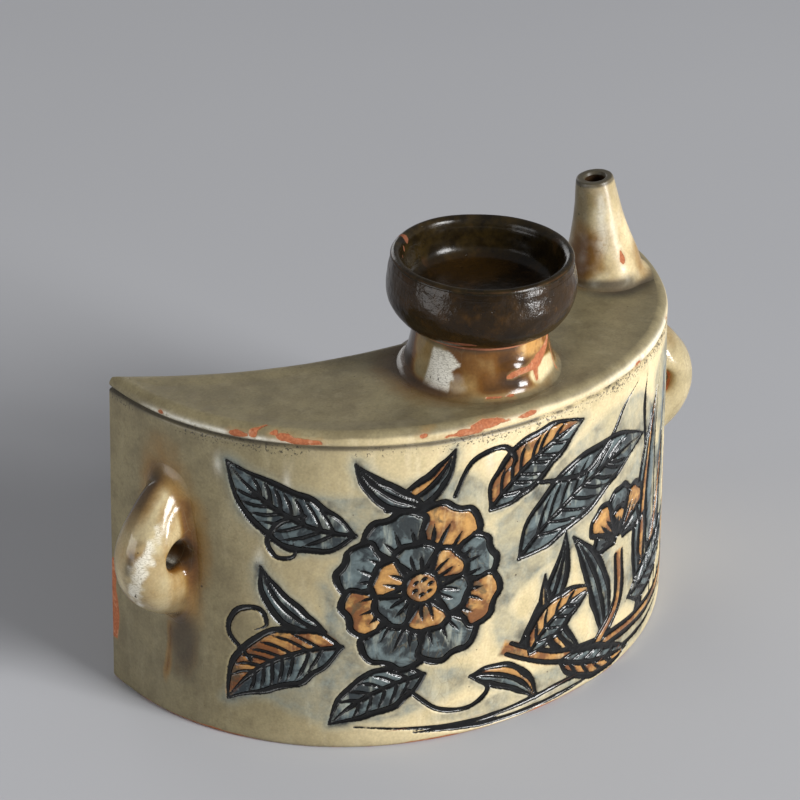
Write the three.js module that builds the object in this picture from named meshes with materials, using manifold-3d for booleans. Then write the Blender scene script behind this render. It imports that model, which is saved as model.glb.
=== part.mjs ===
// A ceramic hip flask, built the way a potter builds one: a curved front wall, a hollowed back wall,
// a base slab and a top slab luted together with slip, then a thrown neck, a pouring spout and two
// pierced ear lugs for a carrying cord. A dish-shaped lid with a flange below it closes the neck.
// Millimetres, +Z up. The flask stands on z = 0 and its bowed front faces -Y.
import * as THREE from "three";
import { mergeVertices } from "three/addons/utils/BufferGeometryUtils.js";
import Module from "manifold-3d";

// Plan of the body, measured along the top of the walls
const BODY_HALF_WIDTH = 100;
const FRONT_DEPTH = 93;
const FRONT_EXPONENT = 2.08;
const BACK_HOLLOW = 33.5;
const BASE_SPREAD = 3.8;

// Slabs and walls
const WALL_THICKNESS = 6.5;
const BASE_THICKNESS = 6;
const FOOT_BEVEL = 1.2;
const WALL_HEIGHT = 101;
const TOP_THICKNESS = 5;
const TOP_EDGE_ROUND = 4;
const SEAM_DEPTH = 0.6;
const SEAM_HEIGHT = 0.8;

// Neck, a thrown ring on the middle of the top slab
const NECK_BACK_FROM_MIDDLE = 3.25;
const NECK_HEIGHT = 15.8;
const NECK_RADIUS = 21.2;
const NECK_BELLY = 1.5;
const NECK_FOOT_FLARE = 3;
const NECK_WALL = 5;
const NECK_RIM_ROUND = 1.2;

// Spout, a hollow cone that leans towards the neck
const SPOUT_FROM_TIP = 27;
const SPOUT_FROM_CHORD = 32;
const SPOUT_HEIGHT = 35.5;
const SPOUT_LEAN_INWARDS = 4.5;
const SPOUT_LEAN_BACKWARDS = 2;
const SPOUT_LIP_RADIUS = 6.5;
const SPOUT_FOOT_RADIUS = 14.5;
const SPOUT_FOOT_FLARE = 4;
const SPOUT_BORE_RADIUS = 3.4;
const SPOUT_WALL_AT_FOOT = 7.2;
const SPOUT_SUNK = 4;

// Ear lugs on the front wall, one near each tip
const LEFT_LUG_ANGLE = 17.5;
const RIGHT_LUG_ANGLE = 15.5;
const LUG_HOLE_HEIGHT = 64;
const LUG_RISE = 24.5;
const LUG_DROP = 26.5;
const LUG_REACH = 19.4;
const LUG_WIDTH = 18;
const LUG_TOP_WIDTH = 12.5;
const LUG_EXPONENT = 2.4;
const LUG_HOLE_RADIUS = 4.6;
const LUG_HOLE_FROM_WALL = 3.4;
const LUG_HOLE_FLARE = 2.2;
const LUG_ROOT = 5;

// Dish-shaped lid and the flange under it
const LID_RADIUS = 30;
const LID_RIM_RADIUS = 27.7;
const LID_HEIGHT = 22.4;
const LID_LIP = 3.2;
const LID_WALL = 6;
const LID_FLOOR = 9.2;
const LID_FLOOR_ROUND = 9;
const LID_SHOULDER_HEIGHT = 3.2;
const LID_SHOULDER_SET_IN = 2.7;
const LID_BASE_RADIUS = 22.5;
const FLANGE_CLEARANCE = 0.8;
const FLANGE_LENGTH = 10;
const FLANGE_WALL = 4.5;
const FLANGE_TAPER = 0.8;

// Main lines of the flowering branch that is cut into the front
const LINE_WIDTH = 2.4;
const LINE_DEPTH = 0.8;
const LINE_STEP = 10;
const FLOWER_RADIUS = 28;
const FLOWER_EYE_RADIUS = 15.5;
const FLOWER_PETALS = 8;
const BUD_RADIUS = 20;
const BUD_PETALS = 3;
const STEM_WIDTH = 3.4;

// Slip between luted pieces, and the gap under the loose lid
const SLIP_JOINT = 0.3;
const LID_SEAT_GAP = 0.3;

// How far a cutter reaches past what it cuts
const CUT_THROUGH = 1;

// Smoothness of the round stretches
const FRONT_STEPS = 60;
const BACK_STEPS = 40;
const ROUND_STEPS = 5;
const LATHE_STEPS = 48;
const BORE_STEPS = 32;
const EAR_STEPS = 20;

const WALL_TOP = BASE_THICKNESS + WALL_HEIGHT;
const TOP_SURFACE = WALL_TOP + TOP_THICKNESS;
const NECK_RIM = TOP_SURFACE + NECK_HEIGHT;
const NECK_BORE = NECK_RADIUS - NECK_WALL;
const NECK_Y = NECK_BACK_FROM_MIDDLE - (FRONT_DEPTH + BACK_HOLLOW) / 2;
const SPOUT_X = BODY_HALF_WIDTH - SPOUT_FROM_TIP;
const SPOUT_Y = -SPOUT_FROM_CHORD;
const LID_SEAT = NECK_RIM + LID_SEAT_GAP;
const BACK_RADIUS = (BODY_HALF_WIDTH ** 2 + BACK_HOLLOW ** 2) / (2 * BACK_HOLLOW);
const BACK_CENTRE_Y = BACK_RADIUS - BACK_HOLLOW;
const SHARE_OF_SPREAD = BASE_SPREAD / BODY_HALF_WIDTH;

// Places on the front, as shares of its length from the left tip and of the height of the walls
const FLOWER_PLACE = [0.367, 0.535];
const BUD_PLACE = [0.622, 0.45];
const STEM = [[0.8, 0.1], [0.67, 0.105], [0.54, 0.15], [0.455, 0.27]];
const SHOOT = [[0.585, 0.125], [0.622, 0.24], [0.622, 0.42]];
const REEDS = [
  [[0.735, 0.33], [0.742, 0.6], [0.775, 0.9]],
  [[0.785, 0.36], [0.8, 0.55], [0.835, 0.8]],
  [[0.685, 0.72], [0.675, 0.83], [0.68, 0.95]],
];
const LEAVES = [
  { base: [0.3, 0.72], tip: [0.17, 0.925], half: 9, bend: 5 },
  { base: [0.287, 0.35], tip: [0.17, 0.13], half: 9.5, bend: -6 },
  { base: [0.37, 0.24], tip: [0.275, 0.085], half: 7, bend: -3 },
  { base: [0.44, 0.75], tip: [0.556, 0.94], half: 8, bend: 4 },
  { base: [0.475, 0.56], tip: [0.672, 0.75], half: 10, bend: 8 },
  { base: [0.645, 0.21], tip: [0.775, 0.38], half: 7, bend: -5 },
];

const CREAM_GLAZE = { color: 0xc9bd97, roughness: 0.28, metalness: 0 };
const DARK_GLAZE = { color: 0x33271b, roughness: 0.22, metalness: 0 };
const BARE_CLAY = { color: 0xa4583a, roughness: 0.85, metalness: 0 };

const wasm = await Module();
wasm.setup();

function toSolid(geometry) {
  const bare = geometry.clone();
  bare.deleteAttribute("normal");
  bare.deleteAttribute("uv");
  const merged = mergeVertices(bare, 1e-4);
  return new wasm.Manifold(
    new wasm.Mesh({
      numProp: 3,
      vertProperties: merged.getAttribute("position").array,
      triVerts: new Uint32Array(merged.index.array),
    }),
  );
}

function toGeometry(solid) {
  const made = solid.getMesh();
  const geometry = new THREE.BufferGeometry();
  geometry.setAttribute("position", new THREE.BufferAttribute(new Float32Array(made.vertProperties), 3));
  geometry.setIndex(new THREE.BufferAttribute(new Uint32Array(made.triVerts), 1));
  return geometry;
}

function meshOf(name, geometry, finish) {
  const flat = geometry.index ? geometry.toNonIndexed() : geometry;
  flat.computeVertexNormals();
  const mesh = new THREE.Mesh(flat, new THREE.MeshStandardMaterial(finish));
  mesh.name = name;
  return mesh;
}

// A point of the bowed front, moved into the body by inset. The angle runs from the left tip to the right.
function frontPoint(angle, inset) {
  const power = 2 / FRONT_EXPONENT;
  const across = Math.abs(Math.cos(angle)) ** power;
  const x = -Math.sign(Math.cos(angle)) * BODY_HALF_WIDTH * across;
  const y = -FRONT_DEPTH * Math.sin(angle) ** power;
  const steep = FRONT_EXPONENT - 1;
  const normal = new THREE.Vector2(
    (Math.sign(x) * (Math.abs(x) / BODY_HALF_WIDTH) ** steep) / BODY_HALF_WIDTH,
    -((Math.abs(y) / FRONT_DEPTH) ** steep) / FRONT_DEPTH,
  ).normalize();
  return new THREE.Vector2(x, y).addScaledVector(normal, -inset);
}

// The angle at which the inset front meets the inset back, close to the left tip.
function tipAngle(inset) {
  const outside = (angle) =>
    Math.hypot(frontPoint(angle, inset).x, frontPoint(angle, inset).y - BACK_CENTRE_Y) - (BACK_RADIUS + inset);
  let low = 0;
  let high = Math.PI / 2;
  for (let i = 0; i < 60; i++) {
    const middle = (low + high) / 2;
    if (outside(middle) > 0) high = middle;
    else low = middle;
  }
  return inset > 0 ? high : 0;
}

// The bowed front from the left tip to the right tip.
function frontArc(inset) {
  const start = tipAngle(inset);
  return Array.from({ length: FRONT_STEPS + 1 }, (_, i) =>
    frontPoint(start + ((Math.PI - 2 * start) * i) / FRONT_STEPS, inset),
  );
}

// The hollow back from the right tip to the left tip, each end cut short by trim.
function backArc(inset, trim = 0) {
  const radius = BACK_RADIUS + inset;
  const tip = frontPoint(tipAngle(inset), inset);
  const half = Math.atan2(Math.abs(tip.x), BACK_CENTRE_Y - tip.y) - trim / radius;
  return Array.from({ length: BACK_STEPS + 1 }, (_, i) => {
    const angle = half - (2 * half * i) / BACK_STEPS;
    return new THREE.Vector2(radius * Math.sin(angle), BACK_CENTRE_Y - radius * Math.cos(angle));
  });
}

function crescent(inset) {
  return [...frontArc(inset), ...backArc(inset).slice(1, -1)];
}

// A solid through outlines of equal length, one at each height, with flat ends.
function loft(levels) {
  const count = levels[0].outline.length;
  const positions = [];
  for (const { z, outline } of levels) {
    for (const p of outline) positions.push(p.x, p.y, z);
  }
  const indices = [];
  for (let level = 0; level + 1 < levels.length; level++) {
    for (let i = 0; i < count; i++) {
      const a = level * count + i;
      const b = level * count + ((i + 1) % count);
      indices.push(a, b, b + count, a, b + count, a + count);
    }
  }
  const last = (levels.length - 1) * count;
  for (const [a, b, c] of THREE.ShapeUtils.triangulateShape(levels[0].outline, [])) indices.push(c, b, a);
  for (const [a, b, c] of THREE.ShapeUtils.triangulateShape(levels.at(-1).outline, [])) {
    indices.push(last + a, last + b, last + c);
  }
  const geometry = new THREE.BufferGeometry();
  geometry.setAttribute("position", new THREE.Float32BufferAttribute(positions, 3));
  geometry.setIndex(indices);
  return geometry;
}

// The walls lean: the plan grows evenly from the top of the walls down to the foot.
function growth(z) {
  return 1 + SHARE_OF_SPREAD * Math.max(0, 1 - z / WALL_TOP);
}

function level(z, outline) {
  return { z, outline: outline.map((p) => p.clone().multiplyScalar(growth(z))) };
}

function wall(outline) {
  return loft([level(BASE_THICKNESS, outline), level(WALL_TOP, outline)]);
}

function frontWall() {
  const plain = toSolid(wall([...frontArc(0), ...frontArc(WALL_THICKNESS).reverse()]));
  return toGeometry(plain.subtract(wasm.Manifold.union(drawnLines().map(toSolid))));
}

// Lengths along the front at evenly spaced angles, from which a length gives its angle.
const FRONT_LENGTHS = frontArc(0).reduce((lengths, point, i, arc) => {
  return i ? [...lengths, lengths[i - 1] + point.distanceTo(arc[i - 1])] : [0];
}, []);
const FRONT_LENGTH = FRONT_LENGTHS[FRONT_STEPS];

// A point of the wall at a length along the front and a height, moved outwards from it.
function wallPoint(along, up, out) {
  const next = Math.max(1, FRONT_LENGTHS.findIndex((length) => length >= along));
  const share = (along - FRONT_LENGTHS[next - 1]) / (FRONT_LENGTHS[next] - FRONT_LENGTHS[next - 1]);
  const point = frontPoint(((next - 1 + share) * Math.PI) / FRONT_STEPS, -out).multiplyScalar(growth(up));
  return [point.x, point.y, up];
}

// A V-shaped cutter that follows a line on the unrolled front, half in the wall and half out of it.
function groove(line, width) {
  const positions = line.flatMap((point, i) => {
    const before = line[Math.max(0, i - 1)];
    const after = line[Math.min(line.length - 1, i + 1)];
    const side = new THREE.Vector2(before.y - after.y, after.x - before.x).setLength(width);
    return [
      ...wallPoint(point.x + side.x, point.y + side.y, LINE_DEPTH),
      ...wallPoint(point.x - side.x, point.y - side.y, LINE_DEPTH),
      ...wallPoint(point.x, point.y, -LINE_DEPTH),
    ];
  });
  const indices = [2, 1, 0];
  for (let i = 0; i + 3 < 3 * line.length; i += 3) {
    for (const [a, b] of [[0, 1], [1, 2], [2, 0]]) indices.push(i + a, i + b, i + b + 3, i + a, i + b + 3, i + a + 3);
  }
  indices.push(3 * line.length - 3, 3 * line.length - 2, 3 * line.length - 1);
  const geometry = new THREE.BufferGeometry();
  geometry.setAttribute("position", new THREE.Float32BufferAttribute(positions, 3));
  geometry.setIndex(indices);
  return geometry;
}

function onFront([across, up]) {
  return new THREE.Vector2(across * FRONT_LENGTH, up * WALL_TOP);
}

// A smooth line through points, in steps of about the same length.
function drawn(points) {
  const curve = new THREE.SplineCurve(points);
  return curve.getSpacedPoints(Math.max(2, Math.round(curve.getLength() / LINE_STEP)));
}

// Both sides of a leaf and its midrib, which bows sideways by bend.
function leafLines({ base, tip, half, bend }) {
  const [from, to] = [onFront(base), onFront(tip)];
  const across = new THREE.Vector2(from.y - to.y, to.x - from.x).normalize();
  const shares = [0, 0.12, 0.3, 0.5, 0.7, 0.88, 1];
  const at = (share, spread) =>
    from.clone().lerp(to, share).addScaledVector(across, 4 * bend * share * (1 - share) + spread);
  const width = (share) => half * Math.sin(Math.PI * share ** 0.8);
  return [
    drawn(shares.map((share) => at(share, width(share)))),
    drawn(shares.map((share) => at(share, -width(share)))),
    drawn([at(0.1, 0), at(0.5, 0), at(0.9, 0)]),
  ];
}

// The outer edge of each petal of a flower, between two directions in turns of a full circle.
function petalLines(place, radius, count, from, to) {
  const middle = onFront(place);
  const spread = (2 * Math.PI * (to - from)) / count;
  return Array.from({ length: count }, (_, i) => {
    const turn = 2 * Math.PI * from + spread * (i + 0.5);
    const at = (side, reach) =>
      new THREE.Vector2(Math.cos(turn + side * spread), Math.sin(turn + side * spread))
        .multiplyScalar(radius * reach).add(middle);
    return drawn([at(-0.5, 0.84), at(-0.36, 0.98), at(0, 1), at(0.36, 0.98), at(0.5, 0.84)]);
  });
}

function drawnLines() {
  const fine = [
    ...LEAVES.flatMap(leafLines),
    ...petalLines(FLOWER_PLACE, FLOWER_RADIUS, FLOWER_PETALS, 0, 1),
    ...petalLines(FLOWER_PLACE, FLOWER_EYE_RADIUS, FLOWER_PETALS - 2, 0, 1),
    ...petalLines(BUD_PLACE, BUD_RADIUS, BUD_PETALS, 0.08, 0.42),
    ...REEDS.map((reed) => drawn(reed.map(onFront))),
  ];
  const thick = [STEM, SHOOT].map((line) => drawn(line.map(onFront)));
  return [...fine.map((line) => groove(line, LINE_WIDTH)), ...thick.map((line) => groove(line, STEM_WIDTH))];
}

// The back slab stands between the ends of the front wall, mitred at both tips.
function backWall() {
  const tipHalfAngle = (Math.PI / 2 - Math.asin(BODY_HALF_WIDTH / BACK_RADIUS)) / 2;
  const trim = SLIP_JOINT / Math.sin(tipHalfAngle);
  return wall([...backArc(0, trim), ...backArc(WALL_THICKNESS, trim).reverse()]);
}

function baseSlab() {
  return loft([
    level(0, crescent(FOOT_BEVEL)),
    level(FOOT_BEVEL, crescent(0)),
    level(BASE_THICKNESS, crescent(0)),
  ]);
}

// A round bar along Z, for cutting bores.
function bar(radius, bottom, top, x, y) {
  const geometry = new THREE.CylinderGeometry(radius, radius, top - bottom, BORE_STEPS);
  return geometry.rotateX(Math.PI / 2).translate(x, y, (top + bottom) / 2);
}

// The top slab overlaps the walls. A seam runs under its edge, which rounds over to the flat top.
function topSlab() {
  const edge = WALL_TOP + SEAM_HEIGHT;
  const rise = TOP_SURFACE - edge;
  const levels = [level(WALL_TOP, crescent(SEAM_DEPTH))];
  for (let i = 0; i <= ROUND_STEPS; i++) {
    const angle = ((Math.PI / 2) * i) / ROUND_STEPS;
    levels.push(level(edge + rise * Math.sin(angle), crescent(TOP_EDGE_ROUND * (1 - Math.cos(angle)))));
  }
  const below = WALL_TOP - CUT_THROUGH;
  const above = TOP_SURFACE + CUT_THROUGH;
  const neckHole = bar(NECK_BORE, below, above, 0, NECK_Y);
  const spoutHole = bar(SPOUT_FOOT_RADIUS - SPOUT_WALL_AT_FOOT, below, above, SPOUT_X, SPOUT_Y);
  return toGeometry(toSolid(loft(levels)).subtract(toSolid(neckHole)).subtract(toSolid(spoutHole)));
}

// Turns a closed profile of [radius, height] pairs about +Z.
function turned(profile, steps = LATHE_STEPS) {
  const points = profile.map(([radius, height]) => new THREE.Vector2(radius, height));
  return new THREE.LatheGeometry(points, steps).rotateX(Math.PI / 2);
}

// Points of a smooth curve through the given [radius, height] pairs.
function smooth(pairs, steps) {
  const curve = new THREE.SplineCurve(pairs.map(([radius, height]) => new THREE.Vector2(radius, height)));
  return curve.getPoints(steps).map((p) => [p.x, p.y]);
}

function quarterRound(centreRadius, centreHeight, across, up, fromAngle, toAngle, steps) {
  return Array.from({ length: steps + 1 }, (_, i) => {
    const angle = fromAngle + ((toAngle - fromAngle) * i) / steps;
    return [centreRadius + across * Math.cos(angle), centreHeight + up * Math.sin(angle)];
  });
}

function neck() {
  const rimCentre = NECK_HEIGHT - NECK_RIM_ROUND;
  const outside = smooth(
    [
      [NECK_RADIUS + NECK_BELLY + NECK_FOOT_FLARE, 0],
      [NECK_RADIUS + NECK_BELLY + NECK_FOOT_FLARE / 4, NECK_HEIGHT * 0.12],
      [NECK_RADIUS + NECK_BELLY * 0.75, NECK_HEIGHT * 0.36],
      [NECK_RADIUS, rimCentre],
    ],
    9,
  );
  const outerRim = quarterRound(
    NECK_RADIUS - NECK_RIM_ROUND, rimCentre, NECK_RIM_ROUND, NECK_RIM_ROUND, 0, Math.PI / 2, 4,
  );
  const innerRim = quarterRound(
    NECK_BORE + NECK_RIM_ROUND, rimCentre, NECK_RIM_ROUND, NECK_RIM_ROUND, Math.PI / 2, Math.PI, 4,
  );
  const profile = [...outside, ...outerRim.slice(1), ...innerRim, [NECK_BORE, 0], outside[0]];
  const ring = turned(profile).translate(0, NECK_Y, TOP_SURFACE);
  return toGeometry(toSolid(ring).intersect(roomAbove()));
}

// The space over the flat of the top slab, to which what stands on the slab is trimmed.
function roomAbove() {
  const flat = crescent(TOP_EDGE_ROUND);
  return toSolid(loft([level(TOP_SURFACE, flat), level(TOP_SURFACE + 2 * SPOUT_HEIGHT, flat)]));
}

// The spout is turned about its own leaning axis and cut off flat above the top slab.
function spout() {
  const length = Math.hypot(SPOUT_HEIGHT, SPOUT_LEAN_INWARDS, SPOUT_LEAN_BACKWARDS);
  const gain = SPOUT_FOOT_RADIUS - SPOUT_LIP_RADIUS;
  const boreAtFoot = SPOUT_FOOT_RADIUS - SPOUT_WALL_AT_FOOT;
  const foot = SPOUT_FOOT_RADIUS + SPOUT_FOOT_FLARE;
  const outside = smooth(
    [
      [foot + SPOUT_SUNK, -SPOUT_SUNK],
      [foot, 0],
      [SPOUT_LIP_RADIUS + gain * 0.88, length * 0.07],
      [SPOUT_LIP_RADIUS + gain * 0.5, length * 0.36],
      [SPOUT_LIP_RADIUS + gain * 0.17, length * 0.7],
      [SPOUT_LIP_RADIUS, length],
    ],
    18,
  );
  const profile = [
    ...outside,
    [SPOUT_BORE_RADIUS, length],
    [SPOUT_BORE_RADIUS, length * 0.8],
    [boreAtFoot * 0.7, length * 0.3],
    [boreAtFoot, 0],
    [boreAtFoot, -SPOUT_SUNK],
    outside[0],
  ];
  const lean = new THREE.Vector3(-SPOUT_LEAN_INWARDS, SPOUT_LEAN_BACKWARDS, SPOUT_HEIGHT).normalize();
  const turn = new THREE.Quaternion().setFromUnitVectors(new THREE.Vector3(0, 0, 1), lean);
  const leaning = turned(profile, BORE_STEPS).applyQuaternion(turn).translate(SPOUT_X, SPOUT_Y, TOP_SURFACE);
  const side = 4 * foot;
  const slab = new THREE.BoxGeometry(side, side, side);
  slab.translate(SPOUT_X, SPOUT_Y, TOP_SURFACE + SLIP_JOINT - side / 2);
  return toGeometry(toSolid(leaning).subtract(toSolid(slab)).intersect(roomAbove()));
}

// One horizontal slice of an ear: a rounded D that starts inside the wall and reaches out from it.
function earSlice(reach, width) {
  const power = 2 / LUG_EXPONENT;
  return Array.from({ length: EAR_STEPS + 1 }, (_, i) => {
    const angle = (Math.PI * i) / EAR_STEPS - Math.PI / 2;
    const across = Math.sign(angle) * Math.abs(Math.sin(angle)) ** power;
    return new THREE.Vector2((reach + LUG_ROOT) * Math.cos(angle) ** power - LUG_ROOT, (across * width) / 2);
  });
}

// An ear in its own frame: +X away from the wall, +Y along it, the cord hole round the Y axis.
function ear() {
  const side = new THREE.SplineCurve(
    [
      [-LUG_ROOT / 2, -LUG_DROP * 1.08],
      [0, -LUG_DROP],
      [LUG_REACH * 0.55, -LUG_DROP * 0.735],
      [LUG_REACH * 0.9, -LUG_DROP * 0.42],
      [LUG_REACH, -LUG_DROP * 0.12],
      [LUG_REACH * 0.93, LUG_RISE * 0.33],
      [LUG_REACH * 0.58, LUG_RISE * 0.7],
      [0, LUG_RISE],
      [-LUG_ROOT / 2, LUG_RISE * 1.08],
    ].map(([out, up]) => new THREE.Vector2(out, up)),
  );
  const slices = side.getPoints(EAR_STEPS).map((p) => {
    const upwards = THREE.MathUtils.smoothstep(p.y, 0, LUG_RISE);
    return { z: p.y, outline: earSlice(p.x, THREE.MathUtils.lerp(LUG_WIDTH, LUG_TOP_WIDTH, upwards)) };
  });
  const mouth = LUG_HOLE_RADIUS + LUG_HOLE_FLARE;
  const half = LUG_WIDTH / 2;
  const hole = new THREE.LatheGeometry(
    [
      [0, -half - CUT_THROUGH],
      [mouth + CUT_THROUGH, -half - CUT_THROUGH],
      [mouth, -half],
      [LUG_HOLE_RADIUS + LUG_HOLE_FLARE * 0.35, -half * 0.65],
      [LUG_HOLE_RADIUS, -half * 0.2],
      [LUG_HOLE_RADIUS, half * 0.2],
      [LUG_HOLE_RADIUS + LUG_HOLE_FLARE * 0.35, half * 0.65],
      [mouth, half],
      [mouth + CUT_THROUGH, half + CUT_THROUGH],
      [0, half + CUT_THROUGH],
    ].map(([radius, along]) => new THREE.Vector2(radius, along)),
    EAR_STEPS,
  ).translate(LUG_HOLE_FROM_WALL, 0, 0);
  return toGeometry(toSolid(loft(slices)).subtract(toSolid(hole)));
}

// An ear on the wall at the given side: -1 for the left tip, 1 for the right.
function lug(side) {
  const angle = THREE.MathUtils.degToRad(side < 0 ? LEFT_LUG_ANGLE : 180 - RIGHT_LUG_ANGLE);
  const foot = frontPoint(angle, 0).multiplyScalar(growth(LUG_HOLE_HEIGHT));
  const away = frontPoint(angle, 0).sub(frontPoint(angle, 1)).normalize();
  const outward = new THREE.Vector3(away.x, away.y, 0);
  const up = new THREE.Vector3(0, 0, 1);
  const seat = new THREE.Matrix4().makeBasis(outward, up.clone().cross(outward), up);
  seat.setPosition(foot.x, foot.y, LUG_HOLE_HEIGHT);
  const body = toSolid(loft([level(0, crescent(-SLIP_JOINT)), level(WALL_TOP, crescent(-SLIP_JOINT))]));
  return toGeometry(toSolid(ear().applyMatrix4(seat)).subtract(body));
}

// The lid is a shallow dish: a narrow base, a shoulder, a full belly and a thick rounded rim.
function lidDish() {
  const rimCentre = LID_HEIGHT - LID_LIP;
  const inner = LID_RADIUS - LID_WALL;
  const outside = smooth(
    [
      [LID_BASE_RADIUS, 0],
      [LID_RADIUS - LID_SHOULDER_SET_IN, LID_SHOULDER_HEIGHT],
      [LID_RADIUS, LID_HEIGHT * 0.42],
      [LID_RADIUS * 0.987, LID_HEIGHT * 0.7],
      [LID_RIM_RADIUS + LID_LIP * 0.5, rimCentre + LID_LIP * 0.55],
    ],
    12,
  );
  const crest = smooth(
    [
      [LID_RIM_RADIUS + LID_LIP * 0.5, rimCentre + LID_LIP * 0.55],
      [LID_RIM_RADIUS, LID_HEIGHT],
      [LID_RIM_RADIUS - LID_LIP * 0.62, LID_HEIGHT - LID_LIP * 0.3],
      [inner + LID_WALL * 0.12, rimCentre - LID_LIP * 0.5],
    ],
    7,
  );
  const inside = smooth(
    [
      [inner + LID_WALL * 0.12, rimCentre - LID_LIP * 0.5],
      [inner - LID_WALL * 0.1, LID_FLOOR + (rimCentre - LID_FLOOR) * 0.3],
      [inner - LID_FLOOR_ROUND / 3, LID_FLOOR + LID_FLOOR_ROUND * 0.08],
      [inner - LID_FLOOR_ROUND, LID_FLOOR],
    ],
    7,
  );
  const profile = [[0, 0], ...outside, ...crest.slice(1), ...inside.slice(1), [0, LID_FLOOR]];
  return turned(profile).translate(0, NECK_Y, LID_SEAT);
}

// The ring under the dish that keeps the lid in the neck.
function lidFlange() {
  const outer = NECK_BORE - FLANGE_CLEARANCE;
  const inner = outer - FLANGE_WALL;
  const profile = [
    [inner, 0],
    [inner, -FLANGE_LENGTH],
    [outer - FLANGE_TAPER, -FLANGE_LENGTH],
    [outer, -FLANGE_LENGTH * 0.6],
    [outer, 0],
    [inner, 0],
  ];
  return turned(profile).translate(0, NECK_Y, LID_SEAT);
}

const luted = new THREE.Group();
luted.add(
  meshOf("base_slab", baseSlab(), BARE_CLAY),
  meshOf("front_wall", frontWall(), CREAM_GLAZE),
  meshOf("back_wall", backWall(), CREAM_GLAZE),
  meshOf("top_slab", topSlab(), CREAM_GLAZE),
  meshOf("neck", neck(), CREAM_GLAZE),
  meshOf("spout", spout(), CREAM_GLAZE),
  meshOf("left_lug", lug(-1), CREAM_GLAZE),
  meshOf("right_lug", lug(1), CREAM_GLAZE),
);

const lid = new THREE.Group();
lid.add(meshOf("lid_dish", lidDish(), DARK_GLAZE), meshOf("lid_flange", lidFlange(), BARE_CLAY));

const flask = new THREE.Group();
flask.add(luted, lid);
flask.position.y = (FRONT_DEPTH * growth(0)) / 2;

export default flask;
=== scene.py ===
"""Looks for the ceramic hip flask.

Carved and glazed pieces that stand for the ten solids, and the floor, the lamps and the camera.
"""
import math

import bpy
import numpy as np
import openvdb
from mathutils import Matrix, Vector

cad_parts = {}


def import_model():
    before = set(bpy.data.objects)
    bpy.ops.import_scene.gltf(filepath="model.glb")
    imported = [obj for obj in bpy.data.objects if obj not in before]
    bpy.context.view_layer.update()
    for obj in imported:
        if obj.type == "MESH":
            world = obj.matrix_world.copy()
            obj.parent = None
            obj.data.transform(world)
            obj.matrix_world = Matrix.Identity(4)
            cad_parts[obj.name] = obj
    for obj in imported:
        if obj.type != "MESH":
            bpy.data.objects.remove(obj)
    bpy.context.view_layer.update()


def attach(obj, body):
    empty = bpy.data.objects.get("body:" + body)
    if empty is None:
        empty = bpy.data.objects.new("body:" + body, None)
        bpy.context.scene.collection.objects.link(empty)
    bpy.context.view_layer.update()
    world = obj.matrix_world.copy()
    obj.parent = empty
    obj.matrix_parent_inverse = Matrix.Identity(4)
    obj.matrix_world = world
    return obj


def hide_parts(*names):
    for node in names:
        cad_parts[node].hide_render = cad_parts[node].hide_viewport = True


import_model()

MM = 0.001

# Sizes of the solids, in millimetres, in the plan of the body (its tips lie on y = 0)
HALF_WIDTH = 100.0
FRONT_DEPTH = 93.0
FRONT_EXPONENT = 2.08
BACK_HOLLOW = 33.5
BASE_SPREAD = 3.8
WALL_THICKNESS = 6.5
BASE_THICKNESS = 6.0
WALL_TOP = 107.0
SEAM_TOP = 107.8
TOP_SURFACE = 112.0
EDGE_ROUND = 4.0
TIP_ROUND = 1.5
NECK_BORE = 16.2
NECK_Y = -60.0
NECK_HEIGHT = 15.8
LID_SEAT = 128.1
SPOUT_X, SPOUT_Y = 73.0, -32.0
SPOUT_TOP = (-4.5, 2.0, 35.5)
SPOUT_BORE_AT_FOOT = 7.3
LUG_ANGLES = 17.5, 164.5
LUG_HEIGHT = 64.0

# Radii on the flat of the top: where glaze pools round the neck and the spout, and what they stand on
NECK_FOOT_RADIUS, NECK_PLACE = 24.0, 18.8
SPOUT_POOL_RADIUS, SPOUT_PLACE = 14.8, 10.5

# The cut lines, and how far the glazed skin lies under the solids' surface on average
GROOVE_DEPTH, BURR_HEIGHT = 0.6, 0.14
WALL_DIP = 0.42

BACK_RADIUS = (HALF_WIDTH**2 + BACK_HOLLOW**2) / (2 * BACK_HOLLOW)
BACK_CENTRE = BACK_RADIUS - BACK_HOLLOW
SHIFT_Y = FRONT_DEPTH * (1 + BASE_SPREAD / HALF_WIDTH) / 2

CAMERA_AZIMUTH = math.radians(-35.577)
CAMERA_ELEVATION = math.radians(28.875)
CAMERA_ROLL = math.radians(0.814)
CAMERA_DISTANCE = 769.3
CAMERA_AIM = (-19.636, 2.931, 97.49)
CAMERA_LENS = 109.94


# ---------------------------------------------------------------- numbers

CELL_CORNERS = [(dx, dy, dz) for dx in (0, 1) for dy in (0, 1) for dz in (0, 1)]


def smoothstep(x, low, high):
    t = np.clip((x - low) / (high - low), 0.0, 1.0)
    return t * t * (3 - 2 * t)


def bell(x, width):
    """1 at 0, less on both sides."""
    return np.exp(-((x / width) ** 2))


def fade(x, reach):
    """1 up to 0, less beyond."""
    return np.exp(-np.clip(x, 0, None) / reach)


def spot(x, y):
    """1 in the middle of a round spot about 1 in radius, less all round."""
    return np.exp(-np.hypot(x, y) ** 2)


def lattice(ix, iy, iz, seed):
    h = (ix * 374761393 + iy * 668265263 + iz * 1440662683 + seed * 974634777) & 0xFFFFFFFF
    h = ((h ^ (h >> 13)) * 1274126177) & 0xFFFFFFFF
    return ((h ^ (h >> 16)) & 0xFFFF) / 32767.5 - 1.0


def corner_share(f, corner):
    """Weight of one corner of a cell, at the fractions f of its sides."""
    x, y, z = (np.abs(1 - d - f[..., k]) for k, d in enumerate(corner))
    return x * y * z


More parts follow.
